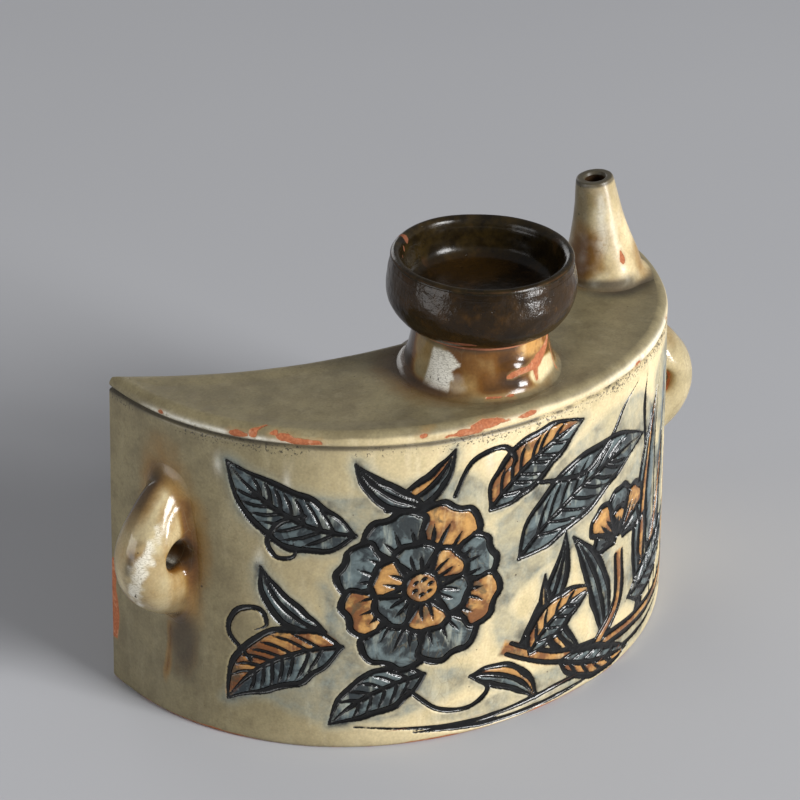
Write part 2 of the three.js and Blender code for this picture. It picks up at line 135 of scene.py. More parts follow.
def noise(points, size, seed, octaves=1):
    """Smooth noise between -1 and 1 at each point, with lumps of about that size."""
    total, weight, reach = 0.0, 1.0, 0.0
    for octave in range(octaves):
        q = points / size * 2.0**octave
        cell = np.floor(q).astype(np.int64)
        f = q - cell
        f = f * f * (3 - 2 * f)
        value = 0.0
        for corner in CELL_CORNERS:
            x, y, z = (cell[..., k] + d for k, d in enumerate(corner))
            value = value + corner_share(f, corner) * lattice(x, y, z, seed + 17 * octave)
        total = total + weight * value
        reach += weight
        weight *= 0.5
    return total / reach


def smooth_min(a, b, k):
    h = np.clip(k - np.abs(a - b), 0, None) / k
    return np.minimum(a, b) - h * h * k / 4


def smooth_max(a, b, k):
    return -smooth_min(-a, -b, k)


def unit(v):
    return v / np.maximum(np.linalg.norm(v, axis=-1, keepdims=True), 1e-12)


def curve_through(points, count):
    """Points along a smooth open curve through the given ones."""
    p = np.array(points, float)
    p = np.vstack([2 * p[0] - p[1], p, 2 * p[-1] - p[-2]])
    u = np.linspace(0, len(p) - 3 - 1e-9, count)
    i = u.astype(int)
    t = (u - i)[:, None]
    a, b, c, d = p[i], p[i + 1], p[i + 2], p[i + 3]
    return 0.5 * (2 * b + (c - a) * t + (2 * a - 5 * b + 4 * c - d) * t**2 + (3 * b - a - 3 * c + d) * t**3)


# ---------------------------------------------------------------- meshes

def grid_faces(rows, columns, closed, offset):
    last = columns if closed else columns - 1
    r, c = np.meshgrid(np.arange(rows - 1), np.arange(last), indexing="ij")
    after = (c + 1) % columns
    corners = [r * columns + c, r * columns + after, (r + 1) * columns + after, (r + 1) * columns + c]
    return np.stack(corners, -1).reshape(-1, 4) + offset


def grid_normals(points, closed):
    if closed:
        along = np.roll(points, -1, 1) - np.roll(points, 1, 1)
    else:
        along = np.gradient(points, axis=1)
    return unit(np.cross(along, np.gradient(points, axis=0)))


class Piece:
    """A mesh put together from grids of points. Its fields, one number for each point, feed the materials."""

    FIELDS = ("ink", "wash", "ochre", "clay", "stain", "dusk", "olive", "frost", "pale", "grain", "gloss")
    FAR = {"ink": 6.0, "wash": 8.0, "ochre": 8.0, "clay": 6.0}

    def __init__(self, name):
        self.name = name
        self.points, self.normals, self.faces, self.slots, self.count = [], [], [], [], 0
        self.values = {f: [] for f in self.FIELDS}

    def add(self, points, faces, normals, slot=0, **fields):
        points = np.asarray(points, float).reshape(-1, 3)
        self.points.append(points)
        self.normals.append(np.asarray(normals, float).reshape(-1, 3))
        self.faces += [tuple(f) for f in (np.asarray(faces) + self.count).tolist()]
        self.slots += [slot] * len(faces)
        for f in self.FIELDS:
            value = fields.get(f, self.FAR.get(f, 0.0))
            value = np.broadcast_to(value, len(points)) if np.ndim(value) == 0 else np.ravel(value)
            self.values[f].append(value)
        self.count += len(points)

    def add_grid(self, points, closed=False, flip=False, normals=None, slot=0, keep=None, **fields):
        rows, columns = points.shape[:2]
        faces = grid_faces(rows, columns, closed, 0)
        if keep is not None:
            faces = faces[keep.ravel()]
        if normals is None:
            normals = grid_normals(points, closed)
        if flip:
            faces, normals = faces[:, ::-1], -normals
        self.add(points, faces, normals, slot, **fields)

    def make(self, body, nodes, slot, materials):
        mesh = bpy.data.meshes.new(self.name)
        points = np.vstack(self.points) * MM
        mesh.from_pydata(points.tolist(), [], self.faces)
        mesh.polygons.foreach_set("use_smooth", [True] * len(mesh.polygons))
        mesh.polygons.foreach_set("material_index", self.slots)
        mesh.normals_split_custom_set_from_vertices(np.vstack(self.normals).tolist())
        for f in self.FIELDS:
            layer = mesh.attributes.new(f, "FLOAT", "POINT")
            layer.data.foreach_set("value", np.concatenate(self.values[f]).astype(np.float32))
        for material in materials:
            mesh.materials.append(material)
        piece = bpy.data.objects.new(self.name, mesh)
        bpy.context.scene.collection.objects.link(piece)
        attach(piece, body)
        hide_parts(*nodes)


def shifted(points):
    """From the plan of the body to the part's own frame."""
    return points + np.array([0.0, SHIFT_Y, 0.0])


def blended(ground, own, share):
    """Fields that are the ground's where the share is 0 and a piece's own where it is 1."""
    return {name: ground[name] * (1 - share) + own[name] * share for name in own}


def from_neck(points):
    return np.hypot(points[..., 0], points[..., 1] - NECK_Y)


def from_spout(points):
    return np.hypot(points[..., 0] - SPOUT_X, points[..., 1] - SPOUT_Y)


# ---------------------------------------------------------------- the plan of the body

def front_curve(angle, inset=0.0):
    """Points and outward normals of the bowed front, from the left tip (0) to the right tip (pi)."""
    power = 2 / FRONT_EXPONENT
    x = -np.sign(np.cos(angle)) * HALF_WIDTH * np.abs(np.cos(angle)) ** power
    y = -FRONT_DEPTH * np.abs(np.sin(angle)) ** power
    steep = FRONT_EXPONENT - 1
    normal = unit(np.stack([
        np.sign(x) * (np.abs(x) / HALF_WIDTH) ** steep / HALF_WIDTH,
        -((np.abs(y) / FRONT_DEPTH) ** steep) / FRONT_DEPTH,
    ], -1))
    return np.stack([x, y], -1) - normal * inset, normal


def tip_angle(inset):
    low, high = 0.0, math.pi / 2
    for _ in range(50):
        middle = (low + high) / 2
        p = front_curve(np.array([middle]), inset)[0][0]
        if math.hypot(p[0], p[1] - BACK_CENTRE) > BACK_RADIUS + inset:
            high = middle
        else:
            low = middle
    return high


def length_along(line):
    return np.concatenate([[0], np.cumsum(np.hypot(*np.diff(line, axis=0).T))])


DENSE = np.linspace(0, math.pi, 20001)
DENSE_POINTS = front_curve(DENSE)[0]
DENSE_LENGTH = length_along(DENSE_POINTS)
FRONT_LENGTH = DENSE_LENGTH[-1]


def outline(inset, front_count, fan_count, back_count):
    """The crescent moved inwards, its tips rounded: points, outward normals, length along the front."""
    core = max(TIP_ROUND, inset + 0.4)
    start = tip_angle(core)
    ends = np.interp([start, math.pi - start], DENSE, DENSE_LENGTH)
    lengths = np.linspace(ends[0], ends[1], front_count)
    angles = np.interp(lengths, DENSE_LENGTH, DENSE)
    front, front_normal = front_curve(angles, inset)
    tip = front_curve(np.array([math.pi - start]), core)[0][0]
    half = math.atan2(tip[0], BACK_CENTRE - tip[1])
    turn = np.linspace(half, -half, back_count)
    back_normal = np.stack([-np.sin(turn), np.cos(turn)], -1)
    back = np.array([0, BACK_CENTRE]) - back_normal * (BACK_RADIUS + inset)
    n0, n1 = front_normal[-1], back_normal[0]
    a0, a1 = math.atan2(n0[1], n0[0]), math.atan2(n1[1], n1[0])
    fan = np.linspace(a0, a1, fan_count + 2)[1:-1]
    right_normal = np.stack([np.cos(fan), np.sin(fan)], -1)
    right = tip + right_normal * (core - inset)
    left, left_normal = right[::-1] * [-1, 1], right_normal[::-1] * [-1, 1]
    points = np.vstack([front, right, back, left])
    normals = np.vstack([front_normal, right_normal, back_normal, left_normal])
    along = [lengths, np.full(fan_count, FRONT_LENGTH), np.full(back_count, -1), np.zeros(fan_count)]
    return points, normals, np.concatenate(along)


def growth(z):
    return 1 + BASE_SPREAD / HALF_WIDTH * np.clip(1 - z / WALL_TOP, 0, None)


def at_length(length):
    """Plan point and outward normal of the front at a length along it."""
    angle = np.interp(length, DENSE_LENGTH, DENSE)
    p, n = front_curve(np.array([angle]))
    return p[0], n[0]


LUG_LENGTHS = [float(np.interp(math.radians(angle), DENSE, DENSE_LENGTH)) for angle in LUG_ANGLES]


# ---------------------------------------------------------------- the drawing on the front
# A flowering branch, drawn in millimetres on the unrolled front: x along the wall from the left tip, y up.

class Drawing:
    def __init__(self):
        self.items = []

    def item(self, outline=None):
        self.items.append({"outline": outline, "strokes": [], "wash": [], "ochre": [], "haze": []})
        return self.items[-1]

    def line(self, places, width, start, end, seed):
        """A line of its own, through places in shares of the front."""
        self.item()["strokes"].append(stroke(on_front(places), width, start, end, seed))


def stroke(points, width, start, end, seed):
    """A drawn line: thick in its middle, thinner at its ends, with a slightly unsteady hand."""
    rough = curve_through(points, 60)
    length = np.hypot(*np.diff(rough, axis=0).T).sum()
    count = max(6, int(length / 1.1))
    line = curve_through(points, count)
    t = np.linspace(0, 1, count)
    swell = start + (1 - start) * smoothstep(t, 0, 0.3)
    swell = np.minimum(swell, end + (1 - end) * smoothstep(1 - t, 0, 0.35))
    at = np.stack([line[:, 0], line[:, 1], np.full(count, seed * 7.3)], -1)
    line = line + 0.25 * np.stack([noise(at, 7.0, seed), noise(at, 7.0, seed + 50)], -1)
    half = width / 2 * swell * (1 + 0.18 * noise(at, 4.0, seed + 90))
    return line, half


def side_normals(line):
    along = unit(np.gradient(line, axis=0))
    return np.stack([-along[:, 1], along[:, 0]], -1)


def polar(angle, radius):
    return np.stack([np.cos(angle) * radius, np.sin(angle) * radius], -1)


def leaf(drawing, base, tip, half, bend, veins, ochre_side, seed):
    """A leaf between two places. Its sides are washed, or one of them (1 or 2) is ochre."""
    base, tip = on_front(base), on_front(tip)
    t = np.linspace(0, 1, 25)
    across = np.array([-(tip - base)[1], (tip - base)[0]])
    across /= np.linalg.norm(across)
    rib = base + (tip - base) * t[:, None] + across * (bend * 4 * t * (1 - t))[:, None]
    spread = half * np.sin(math.pi * t**0.8) ** 0.85 * (1 + 0.06 * np.sin(t * 19 + seed))
    normal = side_normals(rib)
    sides = [rib + normal * (spread * 1.05)[:, None], rib - normal * spread[:, None]]
    made = drawing.item(np.vstack([sides[0], sides[1][::-1]]))
    for k, side in enumerate(sides):
        made["strokes"].append(stroke(side[::3], 2.3, 0.6, 0.35, seed + k))
        made["wash" if ochre_side != k + 1 else "ochre"].append(np.vstack([rib, side[::-1]]))
    made["strokes"].append(stroke(rib[::3], 1.9, 0.9, 0.15, seed + 3))
    for v in range(veins):
        at = 0.16 + 0.62 * v / veins
        for k, sign in enumerate((1, -1)):
            i, j = int(at * 24), int(min(at + 0.17, 0.93) * 24)
            end = rib[j] + sign * normal[j] * spread[j] * 0.86
            middle = (rib[i] + end) / 2 + sign * normal[i] * spread[i] * 0.1
            made["strokes"].append(stroke([rib[i], middle, end], 1.25, 0.8, 0.2, seed + 5 + v + 9 * k))


def petal(drawing, centre, inner, outer, turn, spread, notch, ochre, lines, seed):
    u = np.linspace(-1, 1, 19)
    tip = outer * (0.84 + 0.16 * (1 - np.abs(u) ** 2.4) - notch * bell(u, 0.22))
    side = np.linspace(inner, tip[0], 7)[:-1]
    fan = spread * (0.45 + 0.55 * np.linspace(0, 1, 7)[:-1] ** 0.6)
    radius = np.concatenate([side, tip, side[::-1]])
    angle = turn + np.concatenate([-fan, spread * u, fan[::-1]])
    shape = centre + polar(angle, radius)
    made = drawing.item(shape)
    made["strokes"].append(stroke(shape[::2], 2.3, 0.75, 0.75, seed))
    made["ochre" if ochre else "wash"].append(shape)
    for k in range(lines):
        a = turn + spread * 0.5 * (k - (lines - 1) / 2) / max(1, (lines - 1) / 2)
        radii = np.array([inner + (outer - inner) * f for f in (0.08, 0.36, 0.62 + 0.08 * (k % 2))])
        bend = a + np.array([0, 0.03, 0.0]) * (1 if k % 2 else -1)
        made["strokes"].append(stroke(centre + polar(bend, radii), 1.3, 0.9, 0.15, seed + 20 + k))


def blossom(drawing, centre, radius, turn, petals, seed):
    step = 2 * math.pi / petals
    for k in range(petals):
        reach = radius * (1 + 0.05 * ((k * 3) % 4 - 1.5))
        petal(drawing, centre, radius * 0.34, reach, turn + k * step, step * 0.56,
              0.07, k % 3 == 1, 3, seed + k * 31)
    inner = petals - 2
    for k in range(inner):
        petal(drawing, centre, radius * 0.16, radius * 0.58, turn + 0.3 + k * 2 * math.pi / inner,
              math.pi / inner * 1.05, 0.05, k % 2 == 0, 2, seed + 400 + k * 13)
    ring = centre + polar(np.linspace(0, 2 * math.pi, 17), radius * 0.2)
    made = drawing.item(ring)
    made["strokes"].append(stroke(ring, 1.9, 0.9, 0.9, seed + 7))
    made["ochre"].append(ring)
    for k in range(6):
        dot = centre + polar(2 * math.pi * k / 6 + 0.4, radius * 0.095)
        made["strokes"].append(stroke([dot, dot + 0.4, dot + [0.8, 0.5]], 1.3, 0.9, 0.9, seed + 60 + k))


def on_front(places):
    """Millimetres from shares of the front's length and of the height of the walls."""
    return np.array(places, float) * [FRONT_LENGTH, WALL_TOP]


def ribbon(line, half):
    n = side_normals(line)
    return np.vstack([line + n * half, (line - n * half)[::-1]])


def draw_branch():
    d = Drawing()
    # thin washes behind everything
    for points in (
        [(0.2, 0.86), (0.3, 0.84), (0.4, 0.9), (0.44, 0.74), (0.33, 0.66), (0.22, 0.78)],
        [(0.19, 0.2), (0.27, 0.42), (0.27, 0.56), (0.33, 0.3), (0.42, 0.22), (0.36, 0.12), (0.27, 0.1)],
        [(0.45, 0.7), (0.56, 0.88), (0.66, 0.9), (0.7, 0.72), (0.6, 0.56), (0.5, 0.5), (0.46, 0.4),
         (0.5, 0.28), (0.45, 0.3)],
        [(0.38, 0.08), (0.5, 0.12), (0.62, 0.1), (0.72, 0.1), (0.8, 0.14), (0.74, 0.05), (0.6, 0.03),
         (0.46, 0.04)],
        [(0.6, 0.2), (0.58, 0.4), (0.6, 0.6), (0.7, 0.66), (0.76, 0.5), (0.72, 0.25)],
        [(0.72, 0.7), (0.71, 0.9), (0.78, 0.93), (0.82, 0.76), (0.79, 0.62)],
    ):
        d.item()["haze"].append(curve_through(on_front(points + points[:1]), 40))
    # reeds that fan out at the right, behind the rest
    reeds = (
        ([(0.722, 0.08), (0.735, 0.33), (0.742, 0.6), (0.775, 0.9)], 2.4),
        ([(0.755, 0.08), (0.785, 0.36), (0.8, 0.55), (0.835, 0.8)], 2.4),
        ([(0.69, 0.3), (0.685, 0.55), (0.675, 0.83), (0.68, 0.95)], 2.4),
        ([(0.705, 0.08), (0.712, 0.42), (0.712, 0.7), (0.728, 0.97)], 1.5),
        ([(0.738, 0.08), (0.76, 0.4), (0.772, 0.62), (0.806, 0.92)], 1.6),
        ([(0.775, 0.08), (0.812, 0.34), (0.83, 0.46), (0.862, 0.66)], 1.6),
        ([(0.795, 0.08), (0.84, 0.26), (0.858, 0.34), (0.882, 0.46)], 2.2),
    )
    for k, (points, width) in enumerate(reeds):
        d.line(points, width, 0.8, 0.15, 700 + k)
    for points, colour in (
        ([(0.72, 0.2), (0.728, 0.5), (0.755, 0.86)], "wash"),
        ([(0.765, 0.2), (0.79, 0.45), (0.818, 0.72)], "ochre"),
        ([(0.7, 0.25), (0.695, 0.5), (0.7, 0.8)], "wash"),
        ([(0.8, 0.16), (0.83, 0.32), (0.856, 0.46)], "wash"),
    ):
        d.item()[colour].append(ribbon(curve_through(on_front(points), 20), 2.6))
    # slender leaves behind the branch
    for k, (base, tip, half, bend, ochre_side) in enumerate((
        ((0.475, 0.24), (0.535, 0.585), 3.6, -5, 0),
        ((0.56, 0.14), (0.508, 0.47), 3.2, 5, 1),
        ((0.68, 0.1), (0.715, 0.86), 4.2, 8, 2),
        ((0.6, 0.13), (0.545, 0.56), 4.0, -4, 0),
        ((0.66, 0.12), (0.745, 0.68), 3.8, -6, 1),
        ((0.27, 0.4), (0.205, 0.6), 3.6, 4, 0),
        ((0.42, 0.2), (0.5, 0.045), 3.6, 4, 1),
        ((0.33, 0.8), (0.4, 0.97), 3.6, -4, 1),
        ((0.37, 0.8), (0.3, 0.95), 3.2, 3, 0),
        ((0.72, 0.1), (0.835, 0.3), 3.2, -5, 2),
    )):
        leaf(d, base, tip, half, bend, 0, ochre_side, 1101 + 50 * k)
    # ground lines under the branch
    for k, points in enumerate((
        [(0.3, 0.075), (0.42, 0.04), (0.55, 0.06), (0.68, 0.045), (0.8, 0.07)],
        [(0.36, 0.04), (0.47, 0.018), (0.6, 0.028)],
    )):
        d.line(points, 2.0, 0.3, 0.1, 640 + k)
    # the stem and the shoot that carries the bud
    for points in (
        [(0.8, 0.1), (0.67, 0.105), (0.54, 0.15), (0.455, 0.27)],
        [(0.585, 0.125), (0.622, 0.24), (0.622, 0.42)],
    ):
        line = curve_through(on_front(points), 30)
        made = d.item(ribbon(line, 2.6))
        made["ochre"].append(ribbon(line, 2.6))
        for side in (1, -1):
            made["strokes"].append(stroke((line + side * 2.0 * side_normals(line))[::4], 2.1, 0.8, 0.7, 31))
    for k, (base, tip, half, bend, veins, ochre_side) in enumerate((
        ((0.3, 0.72), (0.17, 0.925), 9.0, 5, 7, 0),
        ((0.287, 0.35), (0.17, 0.13), 9.5, -6, 7, 2),
        ((0.37, 0.24), (0.275, 0.085), 7.0, -3, 5, 0),
        ((0.44, 0.75), (0.556, 0.94), 8.0, 4, 6, 1),
        ((0.475, 0.56), (0.672, 0.75), 10.0, 8, 8, 0),
        ((0.49, 0.215), (0.575, 0.35), 6.2, 4, 4, 1),
        ((0.645, 0.21), (0.775, 0.38), 7.0, -5, 6, 0),
        ((0.53, 0.14), (0.645, 0.035), 5.0, -2, 4, 2),
    )):
        leaf(d, base, tip, half, bend, veins, ochre_side, 101 + 50 * k)
    for k, points in enumerate((
        [(0.25, 0.78), (0.225, 0.75), (0.212, 0.69), (0.222, 0.64), (0.24, 0.65), (0.238, 0.7)],
        [(0.195, 0.28), (0.172, 0.36), (0.18, 0.44), (0.203, 0.46), (0.212, 0.41), (0.2, 0.385)],
        [(0.5, 0.79), (0.53, 0.77), (0.56, 0.76), (0.6, 0.82), (0.625, 0.9), (0.655, 0.95)],
        [(0.355, 0.19), (0.385, 0.11), (0.42, 0.095), (0.44, 0.14), (0.425, 0.185)],
        [(0.4, 0.82), (0.418, 0.92), (0.452, 0.945), (0.468, 0.89), (0.452, 0.85)],
        [(0.675, 0.3), (0.665, 0.36), (0.672, 0.45), (0.69, 0.47)],
    )):
        d.line(points, 1.9, 0.8, 0.15, 600 + k)
    bud = on_front((0.622, 0.45))
    for k, (turn, reach, ochre) in enumerate((
        (0.35, 14.0, False), (2.8, 14.0, False), (0.86, 20.0, True),
        (2.28, 20.0, True), (1.57, 20.0, False), (1.57, 12.5, True),
    )):
        petal(d, bud, 2.5, reach, turn, 0.36, 0.04, ochre, 2, 801 + 9 * k)
    blossom(d, on_front((0.367, 0.535)), 28.0, math.pi / 8, 8, 901)
    return d


def inside(px, py, polygon):
    x0, y0 = polygon[:, 0], polygon[:, 1]
    x1, y1 = np.roll(x0, -1), np.roll(y0, -1)
    flips = (y0 > py[:, None]) != (y1 > py[:, None])
    cross = x0 + (py[:, None] - y0) / np.where(y1 == y0, 1e-9, y1 - y0) * (x1 - x0)
    return ((flips & (px[:, None] < cross)).sum(1) % 2) == 1


def line_distance(px, py, line, half):
    """Distance to a line, less its half width there. Negative on the line."""
    a, b = line[:-1], line[1:]
    d = b - a
    x, y = px[:, None] - a[:, 0], py[:, None] - a[:, 1]
    t = np.clip((x * d[:, 0] + y * d[:, 1]) / np.maximum((d**2).sum(1), 1e-9), 0, 1)
    away = np.hypot(x - t * d[:, 0], y - t * d[:, 1])
    return (away - (half[:-1] + t * (half[1:] - half[:-1]))).min(1)


def area_distance(px, py, polygon):
    ring = np.vstack([polygon, polygon[:1]])
    away = line_distance(px, py, ring, np.zeros(len(ring)))
    return np.where(inside(px, py, polygon), -away, away)


def drawing_fields(drawing, along, up):
    """Distance in millimetres from each point of the wall to the nearest line and to each colour's areas."""
    px, py = along.ravel(), up.ravel()
    fields = {name: np.full(px.shape, Piece.FAR[name]) for name in ("ink", "wash", "ochre")}

    def take_in(name, pick, shape, margin, distance):
        """Changes a field round a shape: pick is np.minimum to add the shape and np.maximum to clear it."""
        low, high = shape.min(0) - margin, shape.max(0) + margin
        near = np.flatnonzero((px > low[0]) & (px < high[0]) & (py > low[1]) & (py < high[1]))
        if len(near):
            fields[name][near] = pick(fields[name][near], distance(px[near], py[near]))

    for i, item in enumerate(drawing.items):
        cover = item["outline"]
        above = [later["outline"] for later in drawing.items[i + 1:] if later["outline"] is not None]
        for name in ("wash", "ochre"):
            if cover is not None:
                take_in(name, np.maximum, cover, 0, lambda x, y: -area_distance(x, y, cover))
            for shape in item[name]:
                take_in(name, np.minimum, shape, 8, lambda x, y: area_distance(x, y, shape))
        for shape in item["haze"]:
            haze = lambda x, y: np.maximum(area_distance(x, y, shape), 0) + 1.0
            take_in("wash", np.minimum, shape, 8, haze)
        for line, half in item["strokes"]:
            middle = (line[:-1] + line[1:]) / 2
            hidden = np.zeros(len(middle), bool)
            for shape in above:
                hidden |= inside(middle[:, 0], middle[:, 1], shape)
            cuts = np.flatnonzero(np.diff(np.concatenate([[1], hidden.astype(int), [1]])))
            for a, b in zip(cuts[::2], cuts[1::2]):
                bare, wide = line[a:b + 1], half[a:b + 1]
                take_in("ink", np.minimum, bare, 7, lambda x, y: line_distance(x, y, bare, wide))
    return {name: np.minimum(value, 8.0).reshape(along.shape) for name, value in fields.items()}


# ---------------------------------------------------------------- the walls, the base and the top

FRONT_COUNT, FAN_COUNT, BACK_COUNT = 540, 9, 190
WALL_ROWS = 190


def body_rows():
    """(inset, height, tilt of the surface in radians) of each row, from the foot to the flat of the top."""
    foot = [(1.2, 0.0, -1.4), (0.8, 0.12, -1.0), (0.4, 0.4, -0.8), (0.12, 0.85, -0.4), (0.0, 1.4, 0.0)]
    wall = [(0.0, z, 0.0) for z in np.linspace(1.9, 105.4, WALL_ROWS)]
    seam = [(0.02, 106.0, 0), (0.16, 106.4, 0), (0.62, 106.75, 0), (0.95, WALL_TOP, 0)]
    over = [(0.95, 107.2, 0), (0.6, 107.45, 0), (0.18, SEAM_TOP, 0)]
    rise = TOP_SURFACE - SEAM_TOP
    for a in np.linspace(0.12, math.pi / 2, 14):
        over.append((EDGE_ROUND * (1 - math.cos(a)), SEAM_TOP + rise * math.sin(a), a))
    return foot + wall + seam + over


def unevenness(points):
    """How far the surface lies under the true one: hand-built slabs under glaze. Never above it."""
    wave = noise(points, 34.0, 3, 2)
    ripple = noise(points * [1, 1, 0.6], 9.0, 8, 2)
    calm = np.ones(points.shape[:-1])
    level = 1 - smoothstep(np.abs(points[..., 2] - LUG_HEIGHT), 30, 42)
    for length in LUG_LENGTHS:
        p, _ = at_length(length)
        away = np.hypot(points[..., 0] - p[0], points[..., 1] - p[1])
        calm = calm * (1 - (1 - smoothstep(away, 14, 24)) * level)
    return -WALL_DIP + calm * (0.30 * wave + 0.07 * ripple)


rows = body_rows()
SEAM_ROW = next(i for i, row in enumerate(rows) if row[1] >= WALL_TOP - 1e-6)
BASE_ROW = min(range(len(rows)), key=lambda i: abs(rows[i][1] - BASE_THICKNESS))
body, body_along = [], None
for inset, z, tilt in rows:
    points, normals, along = outline(inset, FRONT_COUNT, FAN_COUNT, BACK_COUNT)
    base = np.column_stack([points * growth(z), np.full(len(points), z)])
    lean = max(tilt, 0.0)
    outward = np.column_stack([normals * math.cos(lean), np.full(len(points), math.sin(lean))])
    body.append(base + outward * unevenness(base)[:, None])
    if body_along is None or inset == 0:
        body_along = along
body = np.array(body)
heights = np.array([row[1] for row in rows])
FRONT = slice(0, FRONT_COUNT)

along_grid = np.broadcast_to(body_along, body.shape[:2])
height_grid = np.broadcast_to(heights[:, None], body.shape[:2])
front_fields = drawing_fields(draw_branch(), along_grid[:, FRONT], height_grid[:, FRONT])
drawn = {name: np.full(body.shape[:2], Piece.FAR[name]) for name in front_fields}
for name, value in front_fields.items():
    drawn[name][:, FRONT] = value

# The lines are cut into the wall, with a slight burr on both sides
cut = GROOVE_DEPTH * smoothstep(-drawn["ink"], -0.35, 0.75) - BURR_HEIGHT * bell(drawn["ink"] - 0.55, 0.3)
outward = np.zeros_like(body)
outward[..., :2] = outline(0.0, FRONT_COUNT, FAN_COUNT, BACK_COUNT)[1]
body = body - outward * (cut * (height_grid < WALL_TOP - 1.5))[..., None]
body_normals = grid_normals(body, True)


def chip(along, up, middle, size, points, seed):
    """Distance to the edge of a ragged patch of bare clay, negative inside it."""
    away = np.hypot((along - middle[0]) / size[0], (up - middle[1]) / size[1]) - 1
    return away * min(size) + 1.0 * noise(points, 3.4, seed, 3)


def lug_stain(points, ds, dz, amount):
    """Brown glaze round a lug, and the darker crease above it. ds and dz count from the cord hole."""
    patchy = noise(points, 8.0, 21, 2)
    ring = 10 * (np.hypot(ds / 10, (dz + 1) / 25) - 1) + 1.6 * patchy
    upper, right = smoothstep(dz, 2, 22), smoothstep(ds, -2, 7)
    strength = 0.14 + 0.36 * upper + 0.66 * right * (1 - upper)
    below = np.exp(-np.hypot((ds - 8 - 0.04 * dz + 0.8 * patchy) / 6.4, (dz + 35) / 15) ** 4)
    stain = np.maximum(amount * strength * fade(ring, 4.6), amount * 0.34 * below * (0.8 + 0.4 * patchy))
    root = spot((ds + 2.6) / 4.6, (dz - 20.5) / 7.0)
    heel = spot((ds - 7.5) / 4.8, (dz + 18) / 7.5) * (0.8 + 0.4 * patchy)
    dusk = amount * np.maximum.reduce([0.95 * root, 0.6 * heel, (0.95 + 0.2 * patchy) * below, 0.4 * stain])
    return np.clip(stain, 0, 1), dusk


